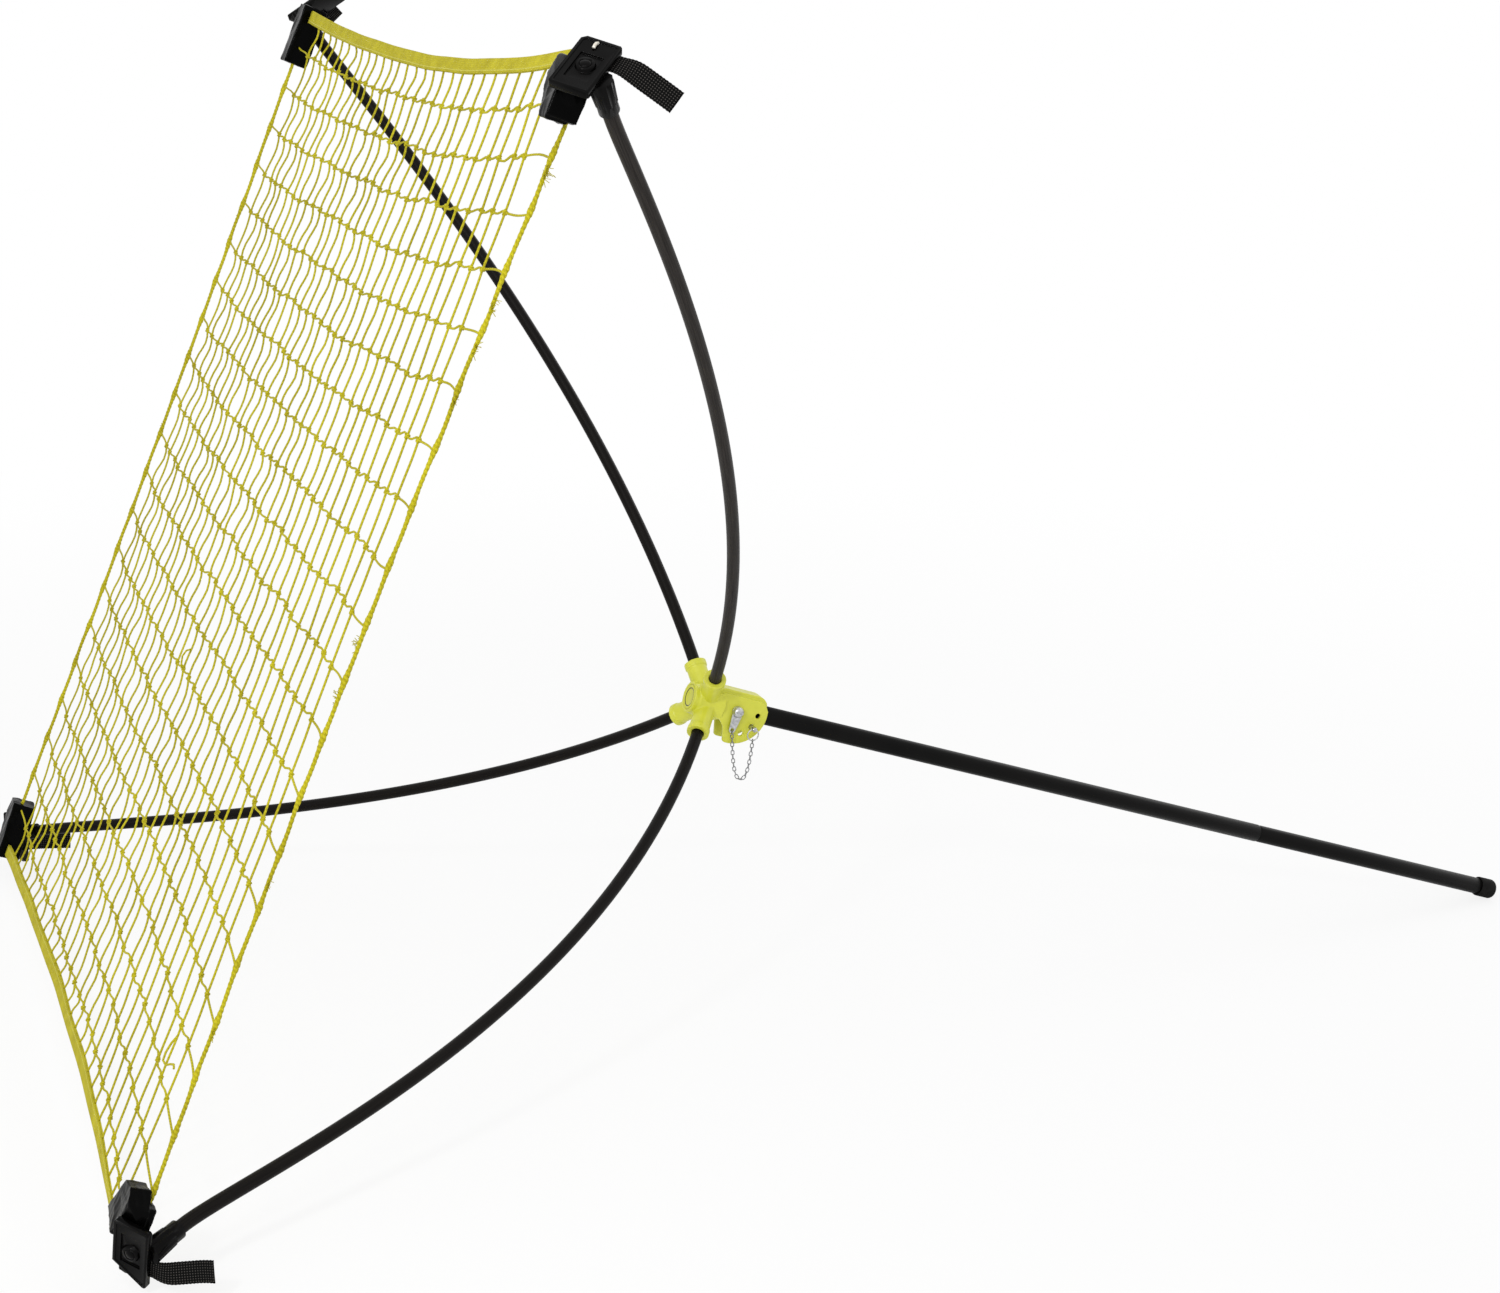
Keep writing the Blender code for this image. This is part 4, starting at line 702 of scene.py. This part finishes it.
# The twist shows as slanting bands that repeat every 4.8 mm along a twine or strand, and
# the sun has faded the yellow in patches of 70 mm.
lean_map = add_node(tree, "Mapping", {"Vector": twine_uv.outputs["UV"],
                                      "Scale": (1.0, 420.0, 1.0)})
plies = add_node(tree, "TexWave", {"Vector": lean_map.outputs["Vector"], "Scale": 0.31416},
                 wave_type="BANDS", bands_direction="DIAGONAL")
here = add_node(tree, "TexCoord")
faded = add_node(tree, "TexNoise", {"Vector": here.outputs["Object"], "Scale": 14.0,
                                    "Detail": 5.0})
both = add_node(tree, "Math", {0: plies.outputs["Fac"], 1: 0.35, 2: faded.outputs["Fac"]},
                operation="MULTIPLY_ADD")
vary(tree, shader, both.outputs["Value"], "#9a8f04", "#c6bc1c", 0.35, 0.95)
relief(tree, shader, plies.outputs["Fac"], 0.0003, 0.8)

HALF_MIDDLE = 0.550                       # half the net's width, half way up
ROPE_ENDS = {1: (0.514, -0.523), -1: (0.534, -0.538)}      # levels where the pockets end
ROPE_STEPS, ROPE_TURNS, STRANDS = 400, 62, 3
STRAND_SPREAD, STRAND_RADIUS, STRAND_SIDES = 0.00096, 0.00128, 7
WANDER, WANDERS, STRAYS = 0.0012, 22, 19  # how far a rope strays, and how often a metre
LASHING_SWELL, LASHING_REACH = 0.5, 0.008
# The net's rows in the middle, at the near rope and at the far one, as two runs of even
# pitch: the first row of a run, its level, and the pitch from there down.
ROWS = 21
MIDDLE_ROWS = ((0, 0.507, 0.048), (2, 0.409, 0.0522))
NEAR_ROWS = ((0, 0.548, 0.0515), (2, 0.445, 0.0567))
FAR_ROWS = ((0, 0.525, 0.0514), (9, 0.0624, 0.0535))
ROW_EDGE, ROW_CURVE = 0.56, 2.4           # where a row meets its rope, and how it gets there


def half_width(height):
    """Distance of the side ropes from the middle."""
    edge, reach = (HALF_TOP, TOP_RIGHT) if height > 0 else (HALF_BOTTOM, -BOTTOM_RIGHT)
    return HALF_MIDDLE + (edge - HALF_MIDDLE) * (height / reach) ** 2


def level_in(runs, row):
    """Level of a row from its runs of even pitch."""
    first, level, pitch = runs[1] if row >= runs[1][0] else runs[0]
    return level - pitch * (row - first)


def row_level(row, y):
    """Level of a row of the net at a place across it."""
    middle, end = level_in(MIDDLE_ROWS, row), level_in(FAR_ROWS if y > 0 else NEAR_ROWS, row)
    return middle + (end - middle) * min(1.0, abs(y) / ROW_EDGE) ** ROW_CURVE


def rope_centre(side):
    """Centre line of a side rope, from pocket to pocket."""
    points = []
    high, low = ROPE_ENDS[side]
    for index in range(ROPE_STEPS + 1):
        level = high + (low - high) * index / ROPE_STEPS
        aside = WANDER * noise.noise(Vector((level * WANDERS, side * 3, 0)))
        forward = WANDER * noise.noise(Vector((level * STRAYS, side * 3, 7)))
        points.append(in_net(side * (half_width(level) + aside), level, forward))
    return points


lash_levels = {side: [row_level(row, side * ROW_EDGE) for row in range(ROWS)]
               for side in (1, -1)}
for side, name in ((1, "left"), (-1, "right")):
    centre = rope_centre(side)
    high, low = ROPE_ENDS[side]

    def lashed(share):
        """How much thicker the rope is where it is lashed."""
        level = high + (low - high) * share
        near = min(abs(level - lashing) for lashing in lash_levels[side])
        return 1.0 + LASHING_SWELL * math.exp(-(near / LASHING_REACH) ** 2)

    strands = []
    for strand in range(STRANDS):
        wound = []
        for index, point in enumerate(centre):
            share = index / ROPE_STEPS
            turn = 2 * math.pi * (share * ROPE_TURNS + strand / STRANDS)
            spread = STRAND_SPREAD * lashed(share)
            wound.append(point + Vector((0, 1, 0)) * spread * math.cos(turn)
                         + NET_FRONT * spread * math.sin(turn))
        strands.append(wound)
    rope = tube_along("braided_rope_" + name, strands, STRAND_RADIUS, STRAND_SIDES, lashed)
    dress(rope, twine_finish)
    settle(rope, "stand", ["side_rope_" + name])

# The lashings wear: short fibres stand out from the ropes in tufts. Each tuft has its side,
# its level and its reach, which is negative where it stands in towards the net. Its fibres
# start within 6 mm of its level, and each turns aside half way.
TUFTS = ((-1, 0.481, 0.016), (-1, 0.355, 0.013), (-1, 0.314, 0.012), (-1, 0.265, 0.010),
         (-1, 0.025, -0.014), (-1, -0.026, -0.014), (-1, -0.21, 0.008), (-1, -0.36, 0.009),
         (1, 0.31, 0.008), (1, 0.02, 0.007), (1, -0.28, 0.008))
TUFT_FIBRES, FIBRE_RADIUS = 24, 0.00035
random.seed(5)
fibres = []
for side, level, reach in TUFTS:
    for fibre in range(TUFT_FIBRES):
        start = in_net(side * half_width(level), level + random.uniform(-0.006, 0.006))
        half = abs(reach) * random.uniform(0.35, 0.8) / 2
        out = side * math.copysign(1, reach)
        way = (Vector((0, out, 0)) + NET_UP * random.uniform(-0.7, 0.7)
               + NET_FRONT * random.uniform(-0.5, 0.6)).normalized()
        turned = Vector((random.uniform(-0.6, 0.6), 0, random.uniform(-0.6, 0.6)))
        bent = (way + turned).normalized()
        fibres.append([start, start + way * half, start + way * half + bent * half])
tufts = tube_along("frayed_lashings", fibres, FIBRE_RADIUS, 4)
dress(tufts, twine_finish)
settle(tufts, "stand")

# ------------------------------------------------------------------ net
# Square-knotted polyethylene net of 28 uprights and 21 rows. The twine is a little slack,
# so it bows to the rear between its knots, and least in the uprights by the near rope.
TWINE, TWINE_SIDES, SPAN_STEPS = 0.0023, 6, 6
COLUMNS, COLUMN_PITCH, FIRST_UPRIGHT = 28, 0.0367, 0.4935
KNOT_ASIDE, KNOT_RISE, KNOT_AHEAD = 0.0019, 0.0014, 0.0011   # scatter of the knots
ROW_WAVE = 0.0042                # how far whole stretches of a row stray
LEVEL_SPAN = 0.57                # height over which the right corners pull the net
TAUT_COLUMNS, EASED_OVER, LEAST_SLACK = 4, 10, 0.1
LASHING_TAIL = 0.004             # how far past its level a row is wound on the rope
IN_TAPE = 0.002                  # how far an upright runs into the tapes
# Ranges of the slack between two knots: its bow to the rear, its bow aside, its wave aside
# and its wave to the rear. The last stretch of each row has its own parts of these.
UPRIGHT_BOW, UPRIGHT_ASIDE = (0.0006, 0.0032), (-0.0009, 0.0009)
UPRIGHT_WAVE, UPRIGHT_SNAKE = (-0.0004, 0.0010), (-0.0004, 0.0020)
ROW_BOW, ROW_ASIDE, ROW_WAVES = (-0.001, 0.0018), (-0.0008, 0.0008), (0.0005, 0.0012)
NEAR_WAVES, LAST_WAVE, LAST_ASIDE = 1.2, 0.2, 6.0


def pulled_forward(y, height):
    """How far the right pockets pull the net ahead of its plane."""
    share = max(0.0, -y / PULL_SPAN) ** 3
    return share * (BOTTOM_PULL * max(0.0, -height / LEVEL_SPAN) ** 6
                    + TOP_PULL * max(0.0, height / LEVEL_SPAN) ** 6)


def slack(first, second, rearward, aside, wave, snake=0.0):
    """Points of a slack twine between two knots, without the last one. It bows rearward
    and aside once, and waves aside and snakes rearward once each way."""
    line = []
    along = (second - first).normalized()
    sideways = along.cross(NET_FRONT).normalized()
    for step in range(SPAN_STEPS):
        t = step / SPAN_STEPS
        once, twice = math.sin(math.pi * t), math.sin(2 * math.pi * t)
        line.append(first.lerp(second, t) - NET_FRONT * (rearward * once + snake * twice)
                    + sideways * (aside * once + wave * twice))
    return line


random.seed(11)
knots = {}
for row in range(ROWS):
    for column in range(COLUMNS):
        y = FIRST_UPRIGHT - COLUMN_PITCH * column + random.uniform(-KNOT_ASIDE, KNOT_ASIDE)
        level = row_level(row, y) + random.uniform(-KNOT_RISE, KNOT_RISE)
        level += ROW_WAVE * noise.noise(Vector((column * 0.42, row * 1.9, 3.0)))
        forward = pulled_forward(y, level) + random.uniform(-KNOT_AHEAD, KNOT_AHEAD)
        knots[row, column] = in_net(y, level, forward)

uprights = []
for column in range(COLUMNS):
    y = FIRST_UPRIGHT - COLUMN_PITCH * column
    looseness = (COLUMNS - TAUT_COLUMNS - column) / EASED_OVER
    looseness = min(1.0, max(LEAST_SLACK, looseness))
    low = bottom_edge(y) + TAPE_WIDTH - IN_TAPE
    stops = [in_net(y + 0.002, top_edge(y) - TAPE_WIDTH + IN_TAPE)]
    stops += [knots[row, column] for row in range(ROWS)]
    stops += [in_net(y + 0.001, low, pulled_forward(y, low))]
    line = []
    for first, second in zip(stops, stops[1:]):
        line += slack(first, second, looseness * random.uniform(*UPRIGHT_BOW),
                      random.uniform(*UPRIGHT_ASIDE),
                      looseness * random.uniform(*UPRIGHT_WAVE),
                      looseness * random.uniform(*UPRIGHT_SNAKE))
    uprights.append(line + [stops[-1]])

# A row waves more towards the near rope, and its last stretch hangs in one plain bow.
crossings = []
for row in range(ROWS):
    far, near = lash_levels[1][row], lash_levels[-1][row]
    stops = [in_net(half_width(far), far + LASHING_TAIL)]
    stops += [knots[row, column] for column in range(COLUMNS)]
    stops += [in_net(-half_width(near), near - LASHING_TAIL)]
    line = []
    for index, (first, second) in enumerate(zip(stops, stops[1:])):
        last = index == COLUMNS
        wave_part = LAST_WAVE if last else 1.0 + NEAR_WAVES * index / COLUMNS
        line += slack(first, second, random.uniform(*ROW_BOW),
                      random.uniform(*ROW_ASIDE) * (LAST_ASIDE if last else 1.0),
                      random.uniform(*ROW_WAVES) * wave_part)
    crossings.append(line + [stops[-1]])

twines = tube_along("net_twine", uprights + crossings, TWINE / 2, TWINE_SIDES)
dress(twines, twine_finish)
settle(twines, "stand", ["net_mesh"])

# Each knot is two turns and a bit of twine drawn tight round the upright.
KNOT_TURNS, KNOT_STEPS, KNOT_HEIGHT = 2.3, 10, 0.0046
KNOT_WAIST, KNOT_BELLY = 0.0011, 0.0008
KNOT_STRAND, KNOT_SIDES = 0.00130, 5
KNOT_LEAN, KNOT_NOD = (-0.3, 0.1), (-0.2, 0.2)      # ranges of its tilt aside and forward
coils = []
for centre in knots.values():
    upward = (NET_UP + Vector((0, random.uniform(*KNOT_LEAN), 0))
              + NET_FRONT * random.uniform(*KNOT_NOD)).normalized()
    aside = upward.cross(NET_FRONT).normalized()
    front = aside.cross(upward)
    start = random.uniform(0, 2 * math.pi)
    coil = []
    for step in range(KNOT_STEPS + 1):
        t = step / KNOT_STEPS
        turn = start + 2 * math.pi * KNOT_TURNS * t
        wide = KNOT_WAIST + KNOT_BELLY * math.sin(math.pi * t)
        coil.append(centre + upward * (t - 0.5) * KNOT_HEIGHT
                    + aside * wide * math.cos(turn) + front * wide * math.sin(turn))
    coils.append(coil)
knotting = tube_along("net_knots", coils, KNOT_STRAND, KNOT_SIDES)
dress(knotting, twine_finish)
settle(knotting, "stand")

# One cut tail hangs from a knot, and one loose end curls near the lower right corner.
TAIL = ((0.0138, -0.139, 0.0), (0.0142, -0.142, 0.004), (0.0140, -0.149, 0.006),
        (0.0120, -0.156, 0.005), (0.0115, -0.162, 0.003))
CURL = ((-0.4600, -0.4050, 0.001), (-0.4560, -0.4150, 0.003), (-0.4530, -0.4260, 0.004),
        (-0.4570, -0.4330, 0.005), (-0.4680, -0.4330, 0.004), (-0.4790, -0.4270, 0.004),
        (-0.4880, -0.4230, 0.003), (-0.4960, -0.4240, 0.004))
ends = tube_along("loose_twine_ends", [[in_net(*place) for place in route]
                                       for route in (TAIL, CURL)], TWINE / 2, TWINE_SIDES)
dress(ends, twine_finish)
settle(ends, "stand")

# ------------------------------------------------------------------ leg
# Two steel tubes, black enamelled. The lower one's drawn-down end slides in the upper, and
# a moulded rubber cap is pushed on its foot.
enamel, tree, shader = new_finish("black_enamel", "#070606", 0.3, Specular_IOR_Level=0.09)
here = add_node(tree, "TexCoord")
# Orange peel of the sprayed coat, 2 to 3 mm, and rubbed patches of 60 mm.
peel = add_node(tree, "TexNoise", {"Vector": here.outputs["Object"], "Scale": 420.0,
                                   "Detail": 2.0})
rubbed = add_node(tree, "TexNoise", {"Vector": here.outputs["Object"], "Scale": 16.0,
                                     "Detail": 6.0})
vary(tree, shader, rubbed.outputs["Fac"], "#050505", "#0e0d0c")
rough_range(tree, shader, rubbed.outputs["Fac"], 0.22, 0.4)
relief(tree, shader, peel.outputs["Fac"], 0.00005, 0.35)
TUBE_EDGE, CAP_EDGE = 0.0002, 0.0006
for node in ("leg_upper_tube", "leg_lower_tube"):
    dress(soften_node(node, TUBE_EDGE), enamel)

# Rubber is dull and dark, with dust in spots of about 10 mm.
rubber, tree, shader = new_finish("moulded_rubber", "#101010", 0.75, Specular_IOR_Level=0.12)
here = add_node(tree, "TexCoord")
dust = add_node(tree, "TexNoise", {"Vector": here.outputs["Object"], "Scale": 110.0,
                                   "Detail": 6.0})
vary(tree, shader, dust.outputs["Fac"], "#0a0a0a", "#1b1a19")
relief(tree, shader, dust.outputs["Fac"], 0.0002, 0.4)
dress(soften_node("foot_cap", CAP_EDGE), rubber)

# ------------------------------------------------------------------ pivot hardware
# Zinc-plated steel bolt, washers, nut and lanyard tab, and a plain steel locking pin on its
# split ring. Zinc is bright and slightly cloudy, in patches of about 3 mm.
zinc, tree, shader = new_finish("zinc_plated_steel", "#bfc0c2", 0.28, Metallic=1.0)
here = add_node(tree, "TexCoord")
spangle = add_node(tree, "TexNoise", {"Vector": here.outputs["Object"], "Scale": 300.0,
                                      "Detail": 5.0})
vary(tree, shader, spangle.outputs["Fac"], "#a2a3a6", "#d4d5d6")
rough_range(tree, shader, spangle.outputs["Fac"], 0.2, 0.42)
relief(tree, shader, spangle.outputs["Fac"], 0.00005, 0.3)
HARDWARE_EDGE = 0.0002
for node in ("pivot_bolt", "pivot_nut", "pivot_washer_near", "pivot_washer_far",
             "lanyard_tab", "leg_bush", "locking_pin"):
    dress(soften_node(node, HARDWARE_EDGE), zinc)
dress(nodes["split_ring"], zinc)

# ------------------------------------------------------------------ lanyard chain
# The chain of plain steel links hangs between the tab and the pin's ring, so it stretches
# as the pin is pulled. Its links are duller than the zinc, in patches of 2 mm.
links, tree, shader = new_finish("plain_steel_links", "#8f9092", 0.3, Metallic=1.0)
here = add_node(tree, "TexCoord")
dulled = add_node(tree, "TexNoise", {"Vector": here.outputs["Object"], "Scale": 500.0,
                                     "Detail": 3.0})
vary(tree, shader, dulled.outputs["Fac"], "#66676a", "#b4b5b8")
rough_range(tree, shader, dulled.outputs["Fac"], 0.22, 0.4)
chain = copy_of("pin_chain", "lanyard_chain")
smooth(chain)
dress(chain, links)
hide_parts("pin_chain")
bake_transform(chain)

# ------------------------------------------------------------------ stage
# Pale floor that keeps a soft shadow near the object and fades to white away from it,
# a white room that metal shows too, and broad soft lamps.
FADE_FROM, FADE_TO, NEAR_WHITE = 1.0, 3.2, 0.82      # distances, and the white's least part
SKY_LIGHT = 0.75
bpy.ops.mesh.primitive_plane_add(size=60.0, location=(0, 0, -0.0005))
floor = bpy.context.object
floor.name = "floor"
paper, tree, shader = new_finish("white_paper", "#f2f2f2", 0.9)
light_path = add_node(tree, "LightPath")
glow = add_node(tree, "Emission", {"Color": (1, 1, 1, 1), "Strength": 1.0})
here = add_node(tree, "TexCoord")
away_from = add_node(tree, "VectorMath", {0: here.outputs["Object"]}, operation="LENGTH")
fade = add_node(tree, "MapRange", {"Value": away_from.outputs["Value"],
                                   "From Min": FADE_FROM, "From Max": FADE_TO,
                                   "To Min": NEAR_WHITE, "To Max": 1.0},
                interpolation_type="SMOOTHSTEP")
share = add_node(tree, "Math", {0: light_path.outputs["Is Camera Ray"],
                                1: fade.outputs["Result"]}, operation="MULTIPLY")
blend = add_node(tree, "MixShader", {0: share.outputs["Value"],
                                     1: shader.outputs["BSDF"], 2: glow.outputs["Emission"]})
tree.links.new(blend.outputs["Shader"], tree.nodes["Material Output"].inputs["Surface"])
dress(floor, paper)

world = bpy.data.worlds.new("studio")
bpy.context.scene.world = world
world.use_nodes = True
tree = world.node_tree
sky = tree.nodes["Background"]
sky.inputs["Color"].default_value = (1, 1, 1, 1)
sky.inputs["Strength"].default_value = SKY_LIGHT
seen = add_node(tree, "Background", {"Color": (1, 1, 1, 1), "Strength": 1.0})
light_path = add_node(tree, "LightPath")
mirrored = add_node(tree, "Math", {0: light_path.outputs["Is Glossy Ray"],
                                   1: light_path.outputs["Is Transmission Ray"]},
                    operation="MAXIMUM")
direct = add_node(tree, "Math", {0: light_path.outputs["Is Camera Ray"],
                                 1: mirrored.outputs["Value"]}, operation="MAXIMUM")
blend = add_node(tree, "MixShader", {0: direct.outputs["Value"], 1: sky.outputs["Background"],
                                     2: seen.outputs["Background"]})
tree.links.new(blend.outputs["Shader"], tree.nodes["World Output"].inputs["Surface"])

# Each lamp's place, size across and power in watts. All look at the middle of the stand.
LAMPS = {"key": ((-1.8, -2.6, 2.6), 2.2, 23.0), "rim": ((2.4, 1.6, 2.2), 2.0, 16.0),
         "glint": ((-2.3, -1.9, 1.9), 0.25, 20.0)}
STAND_MIDDLE = Vector((0, 0, 0.4))
for name, (place, size, power) in LAMPS.items():
    bpy.ops.object.light_add(type="AREA", location=place)
    lamp = bpy.context.object
    lamp.name = name
    lamp.data.size = size
    lamp.data.energy = power
    lamp.rotation_euler = (STAND_MIDDLE - Vector(place)).to_track_quat("-Z", "Y").to_euler()

bpy.context.scene.view_settings.view_transform = "Standard"
